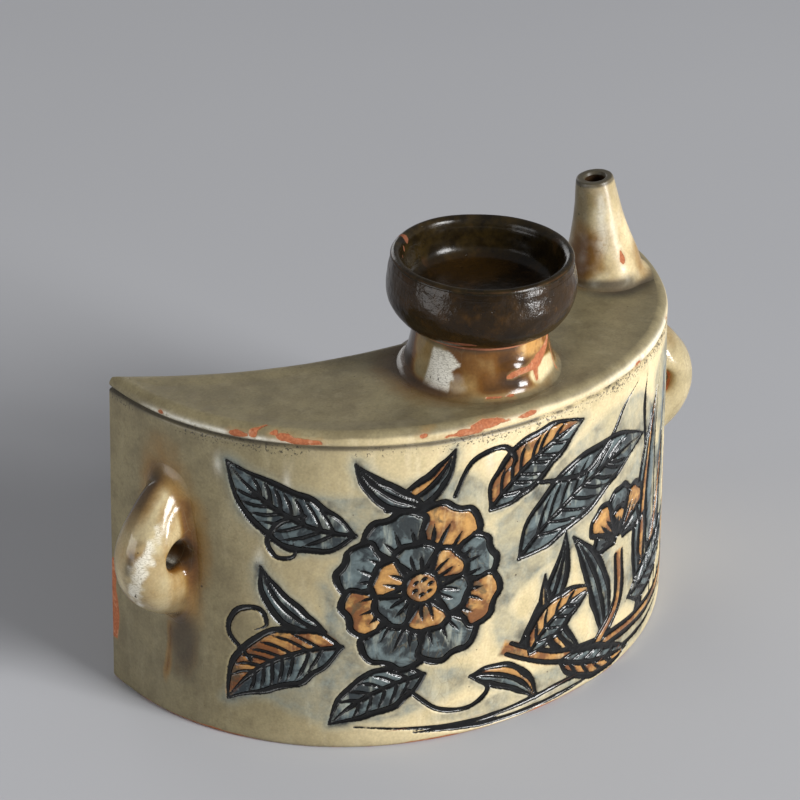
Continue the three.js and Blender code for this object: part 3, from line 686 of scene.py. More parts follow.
def body_fields(points, along, z):
    """The glaze on the walls: stains round the lugs, the dark line under the edge, runs, bare clay, whitish
    glaze with painted highlights on the rim, and an olive tone that is partly painted shade.
    """
    front, behind = (along >= 0).astype(float), (along < 0).astype(float)
    ds, dz = along - LUG_LENGTHS[0], z - LUG_HEIGHT
    at_lug, dusk_at_lug = lug_stain(points, ds, dz, 1.0)
    run = ds - 1.5 - 0.10 * (dz + 30) - 0.5 * noise(points, 7.0, 23)
    drip = bell(run, 1.5) * smoothstep(-dz, 25, 31) * (1 - smoothstep(-dz, 46, 58))
    streak = noise(points * [1, 1, 0.16], 10.0, 33, 2)
    stain = np.maximum.reduce([
        np.maximum(at_lug, 0.46 * drip) * front,
        lug_stain(points, along - LUG_LENGTHS[1], dz, 0.4)[0] * front,
        # thin glaze on the rim shows brown
        0.22 * front * smoothstep(noise(points, 12.0, 25, 2), 0.1, 0.7) * smoothstep(z, 108, 110),
        behind * 0.35 * smoothstep(streak, 0.25, 0.75) * smoothstep(z, 12, 90),
    ])
    # a dark line where glaze pooled under the edge, broken here and there
    broken = 0.75 + 0.5 * noise(points, 11.0, 5, 2)
    dotted = np.where(along > 150, smoothstep(noise(points, 2.2, 7), -0.2, 0.45), 1.0)
    thick = 0.55 + 0.6 * front * (1 - smoothstep(along, 12, 34))
    line = 1.25 * bell(z - 106.8, thick) * dotted
    line = line + 0.22 * fade(106.2 - z, 1.4) * (z < 107.2)
    grain = bell(z - 105.6, 1.9) * (0.55 + 0.45 * smoothstep(along, 100, 170))
    grain = np.clip(grain * (0.6 + 0.8 * noise(points, 9.0, 9)), 0, 1) * front
    dusk = np.maximum.reduce([
        np.clip(line * broken, 0, 1), dusk_at_lug * front, 0.55 * np.exp(-z / 1.6),
        0.3 * front * (1 - smoothstep(along, 18, 60)) * (1 - smoothstep(z, 10, 60)),
    ])
    # bare clay: ragged chips on the edge, the left corner, and a thin line at the foot
    clay = np.full(points.shape[:-1], 6.0)
    for k, (middle, size) in enumerate((
        ((57, 109.0), (3.8, 1.2)), ((60.5, 110.3), (1.5, 1.6)), ((66.5, 110.8), (1.2, 0.6)),
        ((76, 108.9), (6.8, 1.3)), ((71, 110.1), (2.6, 1.0)), ((112, 109.9), (1.8, 0.9)),
        ((126, 108.7), (7.5, 1.2)), ((134, 109.9), (5.0, 1.2)), ((146, 109.8), (5.5, 1.0)),
        ((199, 108.3), (2.4, 1.1)), ((232, 109.2), (1.6, 0.8)), ((28, 108.7), (1.0, 0.5)),
    )):
        clay = np.minimum(clay, np.where(front > 0, chip(along, z, middle, size, points, 60 + k), 6.0))
    left = np.clip(points[..., 0] + 101, 0, None)
    corner = np.where((points[..., 0] < 0), np.abs(z - 31) - 16 + 4 * noise(points, 9.0, 71), 6.0)
    reach = np.where(along >= 0, along - 6.6 + 0.09 * np.abs(z - 25), left * 0.55 - 1.6)
    reach = reach + 0.8 * noise(points, 5.0, 75)
    foot = (z - 0.4) + 1.1 * noise(points, 13.0, 41, 2) + 0.3 * noise(points, 2.0, 43)
    clay = np.minimum.reduce([clay, np.maximum(corner, reach), foot * 1.4])
    # The olive tone here is partly an olive glaze and partly painted shade: it darkens the left part of the
    # front and the rounding onto the top; the back gets some olive too.
    olive = 1.05 * (1 - smoothstep(along, 38, 132)) * front + 0.55 * behind
    olive = np.clip(olive + 0.2 * noise(points, 26.0, 51, 2), 0, 1)
    olive = np.maximum(olive, 0.95 * smoothstep(z + 0.4 * noise(points, 9.0, 53), 109.5, 110.7))
    # whitish glaze and painted highlights: on the rim near the left corner a whitish run that also stands for
    # light caught on the lip's rounded edge, at its bend on the right a painted highlight, and whitish smears
    # on the wall
    pale_breakup = noise(points * [1, 1, 0.5], 3.0, 81, 2)
    pale = 1.6 * bell(z - 108.45, 0.75) * smoothstep(along, 16, 30) * (1 - smoothstep(along, 60, 90))
    # At the bend on the right the pale band is a painted highlight on the chamfer, not glaze.
    bend = 1.3 * bell(z - 109.2, 1.1) * smoothstep(along, 160, 206) * (1 - smoothstep(along, 222, 244))
    pale = np.maximum(pale, bend)
    for place, height, wide, high in (
        (60.0, 86.0, 1.7, 7.0), (62.5, 66.0, 1.5, 4.5), (71.0, 93.0, 1.2, 5.0), (49.0, 97.0, 1.4, 3.0),
        (134.0, 98.0, 1.3, 4.0),
    ):
        pale = np.maximum(pale, 0.75 * spot((along - place) / wide, (z - height) / high))
    pale = np.clip(pale * (0.75 + 0.5 * pale_breakup), 0, 1) * front
    gloss = np.clip(stain * 1.3 + 0.5 * pale, 0, 1)
    return {"stain": np.clip(stain, 0, 1), "dusk": dusk, "clay": np.clip(clay, -4, 6), "olive": olive,
            "gloss": gloss, "pale": pale, "grain": grain}


wall_fields = {**body_fields(body, along_grid, height_grid), **drawn}
BACK = np.arange(FRONT_COUNT + FAN_COUNT, FRONT_COUNT + FAN_COUNT + BACK_COUNT)
FANS_AND_FRONT = np.concatenate([np.arange(BACK[-1], body.shape[1]), np.arange(BACK[0] + 1)])
ALL_ROUND = np.arange(body.shape[1])


def part(rows_slice, columns):
    """The rows and columns of the body's skin that one piece takes, with their normals and fields."""
    take = lambda values: values[rows_slice][:, columns]
    return take(body), take(body_normals), {name: take(value) for name, value in wall_fields.items()}


def wall_piece(name, columns):
    made = Piece(name)
    skin, normals, fields = part(slice(BASE_ROW, SEAM_ROW + 1), columns)
    made.add_grid(shifted(skin), normals=normals, **fields)
    flat = np.diff(skin[0, :, :2], axis=0)
    flat = np.vstack([flat, flat[-1:]])
    inwards = unit(np.column_stack([-flat[:, 1], flat[:, 0]]))
    depth = np.full(len(inwards), WALL_THICKNESS - 0.5)
    run = length_along(skin[0, :, :2])
    depth = np.minimum(depth, 0.5 + 0.42 * np.minimum(run, run[-1] - run))
    inner = skin[[0, -1]].copy()
    inner[..., :2] += inwards * depth[:, None]
    made.add_grid(shifted(inner), flip=True, slot=1)
    for k, edge in enumerate((0, -1)):
        rim = np.stack([inner[edge], skin[edge]])
        made.add_grid(shifted(rim), flip=bool(k), slot=1)
    return made


front_piece = wall_piece("front_wall_glazed", FANS_AND_FRONT)
back_piece = wall_piece("back_wall_glazed", BACK)


def crescent_sheet(loop, z, steps):
    """A flat crescent inside a loop, as rows from its front to its back."""
    count = min(FRONT_COUNT, 2 * BACK_COUNT) // 2
    front = loop[np.linspace(0, FRONT_COUNT - 1, count).round().astype(int)]
    back = loop[np.linspace(BACK[-1], BACK[0], count).round().astype(int)]
    t = np.linspace(0, 1, steps)[:, None, None]
    sheet = front[None] * (1 - t) + back[None] * t
    sheet[..., 2] = z
    return sheet


def base_piece():
    made = Piece("base_slab_clay")
    skin, normals, fields = part(slice(0, BASE_ROW + 1), ALL_ROUND)
    made.add_grid(shifted(skin), closed=True, normals=normals, **fields)
    under = crescent_sheet(skin[0], 0.0, 60)
    under[..., 2] += 0.25 * (1 - smoothstep(noise(under, 16.0, 91, 2), -0.5, 0.3))
    made.add_grid(shifted(under), flip=True, slot=1)
    inner = crescent_sheet(skin[-1], BASE_THICKNESS, 12)
    made.add_grid(shifted(inner), slot=1)
    return made


def sag(away):
    """The flat of the top lies a little lower than its rim."""
    return -0.3 * smoothstep(away, 0, 6)


def top_fields(points, away):
    """Glaze on the flat: olive with soft clouds, the olive also standing as painted shade that keeps the top
    darker than the walls; brown round the neck, partly glaze and partly painted shadow on the camera's left
    of it; dark where it pooled by the spout.
    """
    cloud = noise(points, 20.0, 121, 3)
    neck, spout = from_neck(points), from_spout(points)
    # The side of the neck to the camera's left, away from the key lamp: there the brown and dark round the
    # neck are wider and darker, as painted shadow on top of the pooled glaze.
    side = points[..., 0] * math.cos(CAMERA_AZIMUTH) + (points[..., 1] - NECK_Y) * math.sin(CAMERA_AZIMUTH)
    left = smoothstep(-side / np.maximum(neck, 1), -0.1, 0.9)
    wide = 4.4 + 3.4 * left + 2.0 * cloud
    stain = (0.36 + 0.44 * left) * fade(neck - NECK_FOOT_RADIUS, wide) * (0.8 + 0.5 * cloud)
    stain = np.maximum(stain, 0.3 * fade(spout - 14, 3.4))
    ahead = smoothstep((points[..., 0] - SPOUT_X) * 0.8 - (points[..., 1] - SPOUT_Y), -12, 14)
    pool = bell(spout - SPOUT_POOL_RADIUS, np.where(spout < SPOUT_POOL_RADIUS, 5.0, 4.4 + 0.8 * cloud))
    dusk = np.maximum.reduce([
        0.12 + 0.26 * smoothstep(cloud, -0.1, 0.7) * smoothstep(away, 2, 9),
        (0.5 + 0.5 * ahead) * pool,
        (0.46 + 0.3 * left) * bell(neck - 25, 5.0 + 2.5 * left),
    ])
    gloss = 0.25 + 0.5 * fade(neck - NECK_FOOT_RADIUS, 6) - 1.3 * pool * smoothstep(ahead, 0.1, 0.5)
    # The flat is olive all over: partly an olive glaze, partly painted shade that keeps the top darker than
    # the walls.
    return {"olive": np.clip(0.97 + 0.12 * cloud, 0, 1), "stain": np.clip(stain, 0, 1), "dusk": dusk,
            "gloss": gloss, "clay": 6.0}


def top_level(points):
    """Height of the flat of the top at each point, as far as it differs from TOP_SURFACE."""
    flat = np.concatenate([points[..., :2], np.full(points.shape[:-1] + (1,), TOP_SURFACE)], -1)
    x, y = np.abs(points[..., 0] / HALF_WIDTH), np.abs(points[..., 1] / FRONT_DEPTH)
    front = (1 - (x**FRONT_EXPONENT + y**FRONT_EXPONENT)) * FRONT_DEPTH / FRONT_EXPONENT - EDGE_ROUND
    back = np.hypot(points[..., 0], points[..., 1] - BACK_CENTRE) - BACK_RADIUS - EDGE_ROUND
    return unevenness(flat) + sag(np.minimum(front, back))


def top_piece():
    made = Piece("top_slab_glazed")
    skin, normals, fields = part(slice(SEAM_ROW, len(rows)), ALL_ROUND)
    made.add_grid(shifted(skin), closed=True, normals=normals, **fields)
    evenly = lambda line: np.stack([
        np.interp(np.linspace(0, 1, 330), np.linspace(0, 1, len(line)), line[:, k]) for k in range(3)
    ], -1)
    front, back = evenly(skin[-1][FRONT]), evenly(skin[-1][BACK][::-1])
    t = np.linspace(0, 1, 110)[:, None]
    sheet = front[None] * (1 - t[..., None]) + back[None] * t[..., None]
    away = np.minimum(t, 1 - t) * np.linalg.norm(front - back, axis=-1)[None]
    away = np.minimum(away, 3 * (HALF_WIDTH + 3 - np.abs(sheet[..., 0])))
    flat = sheet.copy()
    flat[..., 2] = TOP_SURFACE
    edge = smoothstep(away, 0, 1.5)
    sheet[..., 2] = sheet[..., 2] * (1 - edge) + (TOP_SURFACE + unevenness(flat)) * edge + sag(away)
    middle = (sheet[:-1, :-1] + sheet[1:, 1:]) / 2
    keep = (from_neck(middle) >= NECK_PLACE) & (from_spout(middle) >= SPOUT_PLACE)
    made.add_grid(shifted(sheet), keep=keep, **top_fields(sheet, away))
    turn = np.linspace(0, 2 * math.pi, 65)[:-1]
    for x, y, radius in ((0, NECK_Y, NECK_BORE), (SPOUT_X, SPOUT_Y, SPOUT_BORE_AT_FOOT)):
        ring = polar(turn, radius) + [x, y]
        wall = np.stack([np.column_stack([ring, np.full(64, z)]) for z in (WALL_TOP, TOP_SURFACE)])
        made.add_grid(shifted(wall), closed=True, flip=True, slot=1)
    under = crescent_sheet(skin[0], WALL_TOP, 40)
    middle = (under[:-1, :-1] + under[1:, 1:]) / 2
    keep = (from_neck(middle) >= NECK_BORE) & (from_spout(middle) >= SPOUT_BORE_AT_FOOT)
    made.add_grid(shifted(under), flip=True, slot=1, keep=keep)
    return made


# ---------------------------------------------------------------- thrown pieces

def turn_profile(profile, steps, wobble=0.0, seed=0, size=14.0):
    """A grid turned about +Z from [radius, height] pairs, and each point's angle off the camera's side."""
    profile = np.array(profile, float)
    turn = np.linspace(0, 2 * math.pi, steps + 1)[:-1]
    radius, height = (profile[:, k][:, None] + 0 * turn for k in (0, 1))
    points = np.stack([radius * np.cos(turn), radius * np.sin(turn), height], -1)
    if wobble:
        lump = noise(points, size, seed, 2)
        shrink = wobble * (0.5 - 0.5 * lump) / np.maximum(profile[:, 0], 4)[:, None]
        points[..., :2] *= (1 - shrink)[..., None]
    to_camera = math.atan2(-math.cos(CAMERA_AZIMUTH), math.sin(CAMERA_AZIMUTH))
    seen = (turn - to_camera + math.pi) % (2 * math.pi) - math.pi
    return points, np.degrees(np.broadcast_to(seen, points.shape[:2]))


def patch(angle, height, middle, size):
    """Below 0 inside an oval on a turned piece, whose middle is (degrees to the camera's right, height)."""
    return np.hypot((angle - middle[0]) / size[0], (height - middle[1]) / size[1]) - 1


def blot(angle, height, middle, size, ragged, low, high):
    """A soft spot in such an oval, from 0 to 1 as the way in from its ragged edge goes from low to high."""
    return smoothstep(-patch(angle, height, middle, size) + ragged, low, high)


def neck_piece():
    made = Piece("neck_glazed")
    edge_round = 1.2
    rim = NECK_HEIGHT - edge_round
    seat = np.array([0, NECK_Y, TOP_SURFACE])
    outside = curve_through([
        (27.8, -0.55), (26.7, -0.2), (25.8, 0.1), (25.0, 0.6), (24.2, 1.5), (23.4, 3.0), (22.7, 5.2),
        (22.0, 8.2), (21.4, 11.6), (21.0, rim),
    ], 52)
    points, seen = turn_profile(outside, 256, 0.5, 201, 11.0)
    h = points[..., 2].copy()
    # the glaze rolled up to a crest over the bare strip
    crest = bell(seen - 31, 15) * bell(h - 7.4, 2.1)
    points[..., :2] *= (1 + 0.85 * crest / 22)[..., None]
    points += seat
    points[..., 2] += top_level(points) * (1 - smoothstep(h, 0.5, 4.0))
    ground = top_fields(points, 9.0)
    ashore = smoothstep(h + 0.5 * noise(points, 6.0, 219), 0.7, 3.0)
    n1, n2 = noise(points, 7.0, 211, 2), noise(points, 2.6, 215, 2)
    n3 = noise(points * [1, 1, 0.45], 5.0, 217, 2)
    # brown runs over green, amber towards the top right, cream at the lower right. A degree is about 0.37 mm
    low = 1 - smoothstep(h, 2, 9)
    stain = 0.68 + 0.24 * n3 + 0.2 * low * smoothstep(seen, -12, 8) * (1 - smoothstep(seen, 26, 46))
    stain -= 0.42 * blot(seen, h, (-50, 8), (26, 12), 0.3 * n1, 0, 0.5)
    stain += 0.3 * smoothstep(-seen, 58, 84)
    stain -= 0.26 * low * (1 - smoothstep(seen, -6, 12)) * smoothstep(seen, -50, -30)
    stain -= 0.3 * blot(seen, h, (58, 13.5), (30, 4.5), 0.3 * n1, 0, 0.6)
    stain = np.clip(stain, 0.06, 1)
    cream = blot(seen, h, (60, 3.4), (24, 5.0), 0.35 * n1, 0.0, 0.4)
    stain *= 1 - 0.95 * cream
    olive = np.clip(0.85 * smoothstep(-seen, -12, 30) + 0.25 * n1 + 0.15, 0, 1) * (1 - cream)
    left_edge = np.interp(h, [0.8, 13.5], [-48, -44.5])
    right_edge = np.interp(h, [0.8, 4, 7, 9.3, 11, 12.5, 13.5], [-25, -24, -24, -16, -19, -27, -31]) + 5 * n2
    sheet = np.maximum.reduce([(left_edge - seen) * 0.37, (seen - right_edge) * 0.37, 0.9 - h, h - 13.2])
    frost = smoothstep(-(sheet + 0.3 * n2), -0.15, 0.5)
    pale = 0.22 * blot(seen, h, (-18, 3.5), (8, 4.0), 0.4 * n2, 0, 0.6)
    # a branching strip of bare clay on the right, with one drip, and a thin line at the foot
    course = np.interp(seen, [16, 30, 48, 70, 84], [5.4, 6.8, 7.2, 10.4, 13.5])
    width = np.interp(seen, [19, 24, 40, 52, 70, 84], [0.3, 1.2, 1.1, 2.0, 1.3, 0.8])
    strip = np.where((seen > 19) & (seen < 88), np.abs(h - course - 0.5 * n1) - width, 4)
    drip = np.abs(seen - 48) * 0.36 - np.interp(h, [2.2, 4.5, 8], [0.35, 0.8, 1.6])
    drip = np.maximum.reduce([drip, 2.4 - h, h - 9])
    thread = np.maximum(np.abs(h - 0.9) - 0.14, np.abs(seen - 14) * 0.36 - 3.6)
    edge = np.maximum(np.abs(seen - 80) * 0.36 - 0.35, np.abs(h - 5) - 4)
    clay = np.minimum.reduce([strip, drip, thread, edge, np.full(h.shape, 4.0)]) + 0.25 * n2
    dusk = 0.3 * smoothstep(-seen, 62, 88) + 0.6 * smoothstep(h + 0.6 * n1, 13.2, 14.6)
    dusk += 0.42 * blot(seen, h, (36, 8.9), (11, 2.0), 0.35 * n2, 0, 0.6)
    dusk += 0.3 * low * smoothstep(seen, -4, 8) * (1 - smoothstep(seen, 24, 40))
    dusk += 0.3 * smoothstep(-seen, 50, 66) * (1 - smoothstep(h, 2, 6))
    gloss = 0.95 - 0.75 * smoothstep(-seen, 50, 66) * (1 - smoothstep(h, 3, 7))
    own = {"stain": stain, "dusk": np.clip(dusk, 0, 1), "olive": olive, "gloss": gloss}
    ochre = 3.0 * patch(seen, h, (52, 13.4), (26, 4.2)) + 0.8 * n1 + 0.4
    made.add_grid(shifted(points), closed=True, frost=frost * ashore, pale=pale * ashore, clay=clay,
                  ochre=ochre, **blended(ground, own, ashore))
    turns = np.linspace(0, math.pi / 2, 5)
    lip = [(20.9 - edge_round * (1 - math.cos(a)), rim + edge_round * math.sin(a)) for a in turns]
    lip += [(NECK_BORE + edge_round * (1 - math.sin(a)), rim + edge_round * math.cos(a)) for a in turns]
    points, _ = turn_profile(lip, 256, 0.3, 221)
    made.add_grid(shifted(points + seat), closed=True, slot=1, clay=-1.0)
    bore = [(NECK_BORE, h) for h in np.linspace(rim, 0, 8)]
    points, _ = turn_profile(bore, 256)
    made.add_grid(shifted(points + seat), closed=True, stain=0.8, gloss=0.8, dusk=0.3)
    return made


def spout_piece():
    made = Piece("spout_glazed")
    length = math.hypot(*SPOUT_TOP)
    lip, foot = 6.5, 13.6
    outside = curve_through([
        (foot + 1.9, -0.5), (foot + 1.1, -0.25), (foot + 0.45, 0.15), (foot + 0.05, 0.9), (lip + 6.5, 3.2),
        (lip + 5.8, 7.0), (lip + 4.1, 13.2), (lip + 2.55, 19.4), (lip + 1.35, 26.0), (lip + 0.35, 32.0),
        (lip - 0.12, length - 1.0), (lip - 0.45, length - 0.25),
    ], 84)
    lean = Vector(SPOUT_TOP).normalized()
    turn = np.array(Vector((0, 0, 1)).rotation_difference(lean).to_matrix())
    seat = np.array([SPOUT_X, SPOUT_Y, TOP_SURFACE - 0.3])

    def placed(points, settle=False):
        """Leaned and put in its place. At the foot the points come to lie on the flat."""
        points, h = points @ turn.T + seat, points[..., 2]
        if settle:
            low = 1 - smoothstep(h, 0.6, 6.0)
            points[..., 2] = points[..., 2] * (1 - low) + (TOP_SURFACE + top_level(points) + h) * low
        return shifted(points)

    points, seen = turn_profile(outside, 160, 0.45, 231, 9.0)
    h = points[..., 2].copy()
    edge = outline(3.4, 200, 5, 200)[0]
    reach = np.linspace(0.5, 34, 135)
    for k in range(points.shape[1]):
        way = unit(points[0, k, :2])
        ray = reach[:, None] * way + [SPOUT_X, SPOUT_Y]
        room = reach[inside(ray[:, 0], ray[:, 1], edge)].max()
        far = np.hypot(points[:, k, 0], points[:, k, 1])
        longer = far * (1 + 0.5 * smoothstep(way[0], 0.3, 1.0) * fade(h[:, k], 1.5))
        points[:, k, :2] *= (smooth_min(longer, room + np.clip(h[:, k], 0, None) * 0.3, 1.5) / far)[:, None]
    n1, n2 = noise(points, 8.0, 235, 2), noise(points, 2.6, 239, 2)
    stain = np.maximum.reduce([
        0.56 * blot(seen, h, (-44, 12), (62, 15), 0.3 * n1, -0.25, 0.75),
        0.4 * blot(seen, h, (80, 6), (40, 11), 0.3 * n1, -0.2, 0.9),
        0.3 * blot(seen, h, (6, 2), (60, 5), 0.3 * n1, -0.1, 0.9),
        0.19 + 0.06 * n1,
        0.4 * smoothstep(n1, 0.1, 0.8) * (np.abs(seen) > 110),
    ])
    foot_band = 1 - smoothstep(h + 0.7 * n1, 1.8, 4.6)
    dusk = foot_band * (0.75 + 0.4 * smoothstep(seen, -40, -5)) * (1 - 0.85 * smoothstep(seen, 34, 70))
    dusk += 0.9 * smoothstep(h, length - 1.9, length - 0.9) + 0.3 * smoothstep(-seen, 45, 80)
    olive = 0.5 + 0.35 * n1 + 0.35 * smoothstep(h, 16, 32) + 0.3 * smoothstep(-seen, 10, 60)
    olive = np.clip(olive - 0.3 * smoothstep(seen, 0, 40), 0, 1)
    # A pale column up the front of the spout: a painted soft highlight.
    pale = 0.6 * bell(seen + 4 - 0.4 * h, 13) * smoothstep(h, 9, 17) * (1 - smoothstep(h, 30, 35))
    clay = np.abs(seen - 34) * 0.16 - np.interp(h, [7.6, 9.0, 12.5], [0.2, 1.0, 0.05])
    clay = np.maximum(clay, np.abs(h - 9.9) - 2.4) + 0.2 * n2
    ground = top_fields(points @ turn.T + seat, 9.0)
    ashore = smoothstep(h, 0.1, 2.0)
    own = {"stain": stain, "dusk": np.clip(dusk, 0, 1), "olive": olive, "gloss": 0.42 - 1.5 * foot_band}
    made.add_grid(placed(points, True), closed=True, clay=clay, pale=np.clip(pale + 0.2 * n2, 0, 1) * ashore,
                  **blended(ground, own, ashore))
    mouth = curve_through([
        (lip - 0.45, length - 0.25), (lip - 0.9, length), (lip - 2.2, length - 0.05), (3.9, length - 0.25),
        (3.45, length - 1.0),
    ], 12)
    points, _ = turn_profile(mouth, 160, 0.35, 241, 4.0)
    made.add_grid(placed(points), closed=True, dusk=0.95, olive=0.9, gloss=0.1)
    wide = SPOUT_BORE_AT_FOOT
    bore = [(3.45, length - 1.0), (3.4, length * 0.8), (5.1, length * 0.3), (wide, 0.0), (wide, -2.0)]
    points, _ = turn_profile(bore, 160)
    made.add_grid(placed(points), closed=True, stain=0.85, dusk=0.25, gloss=0.4)
    return made


def lid_piece():
    made = Piece("lid_dish_glazed")
    outside = curve_through([
        (22.2, 0.35), (24.6, 1.0), (27.0, 3.0), (28.9, 6.2), (29.75, 9.4), (29.85, 12.4), (29.4, 15.6),
        (28.85, 18.4), (28.4, 20.4), (27.9, 21.7), (27.0, 22.25), (26.0, 21.8), (25.2, 20.6), (24.6, 18.2),
        (24.1, 15.0), (23.1, 11.9), (21.0, 10.2), (17.5, 9.55), (12.0, 9.3), (6.0, 9.2), (0.02, 9.2),
    ], 170)
    points, seen = turn_profile(outside, 256, 0.55, 251, 16.0)
    h, radius = points[..., 2].copy(), np.hypot(points[..., 0], points[..., 1])
    t = np.linspace(0, 1, len(outside))[:, None] + 0 * h
    outer = t < 0.42
    lumps = noise(points * [1, 1, 1.8], 5.0, 255, 2)
    finger = noise(points * [0.4, 0.4, 3.2], 9.0, 257, 1)
    soft = np.where(radius > 4, 1.0, radius / 4)
    push = (0.2 * lumps + 0.14 * finger - 0.3) * soft * np.where(outer, 1.0, 0.5)
    push = np.abs(push - 0.5 * smoothstep(lumps, 0.1, 0.8) * bell(h - 2.2, 2.2) * outer)
    push = (push * np.where(outer, 1, -1))[..., None] * [1, 1, 0]
    points = points - unit(grid_normals(points, True)) * push
    points[..., 2] += np.where(h > 19, 0.22 * noise(points * [1, 1, 0], 17.0, 259) - 0.24, 0)
    crest = 0.6 * bell(t - 0.45, 0.02)
    worn = noise(points, 6.0, 261, 2)
    stain = np.clip(0.85 * crest * (0.75 + 0.6 * worn), 0, 1)
    stain = np.maximum(stain, 0.4 * smoothstep(worn, 0.2, 0.8) * (1 - outer))
    stain = np.maximum(stain, 0.45 * smoothstep(noise(points, 10.0, 263, 2), 0.0, 0.8) * outer)
    clay = np.full(h.shape, 4.0)
    inner, top = ~outer, ~outer & (radius >= 24)
    for place, steep, ragged, middle, size in (
        (inner, 1.2, 0, (-66, 19.4), (3.6, 1.3)), (inner, 1.2, 0, (-70, 17.2), (2.0, 1.0)),
        (inner, 1.2, 0, (-58, 20.4), (1.5, 0.6)), (inner, 1.2, 0, (-61, 15.8), (1.2, 0.6)),
        (outer, 0.8, 0.3 * lumps, (-16, 3.3), (11, 0.5)), (outer, 0.8, 0.3 * lumps, (150, 1.8), (20, 0.8)),
        (top, 1.2, 0.2 * worn, (-112, 21.3), (2.6, 1.5)), (top, 1.2, 0.2 * worn, (-104, 19.6), (1.2, 1.0)),
        (top, 1.2, 0.2 * worn, (-96, 18.4), (0.9, 0.8)),
    ):
        clay = np.minimum(clay, np.where(place, patch(seen, h, middle, size) * steep + ragged, 4.0))
    cloudy = smoothstep(noise(points, 4.5, 265, 3), 0.15, 0.75)
    dusk = np.clip(0.25 + 0.5 * cloudy * smoothstep(seen, 0, 40) * outer, 0, 1)
    lift = np.array([0, NECK_Y, LID_SEAT])
    made.add_grid(shifted(points + lift), closed=True, stain=stain, clay=clay, dusk=dusk,
                  olive=np.where(outer, 0.0, 1.0) * smoothstep(h, 9.3, 12), gloss=np.where(outer, 1.0, 0.3))
    under = [(0.02, 0.0), (10.0, 0.0), (20.5, 0.0), (21.8, 0.08), (22.2, 0.35)]
    points, _ = turn_profile(under, 256)
    made.add_grid(shifted(points + lift), closed=True, slot=1)
    return made


def flange_piece():
    made = Piece("lid_flange_clay")
    outer, inner, deep = 15.4, 10.9, -10.0
    profile = curve_through([
        (inner, 0.0), (inner, deep + 0.8), (inner + 0.4, deep + 0.15), (inner + 1.2, deep),
        (outer - 1.8, deep), (outer - 1.0, deep + 0.3), (outer - 0.7, deep + 1.2), (outer - 0.1, deep * 0.5),
        (outer, -0.6), (outer, 0.0),
    ], 60)
    points, _ = turn_profile(profile, 160, 0.3, 271, 6.0)
    points[..., 2] = np.clip(points[..., 2], deep, 0)
    made.add_grid(shifted(points + [0, NECK_Y, LID_SEAT]), closed=True, slot=1)
    return made


# ---------------------------------------------------------------- ear lugs

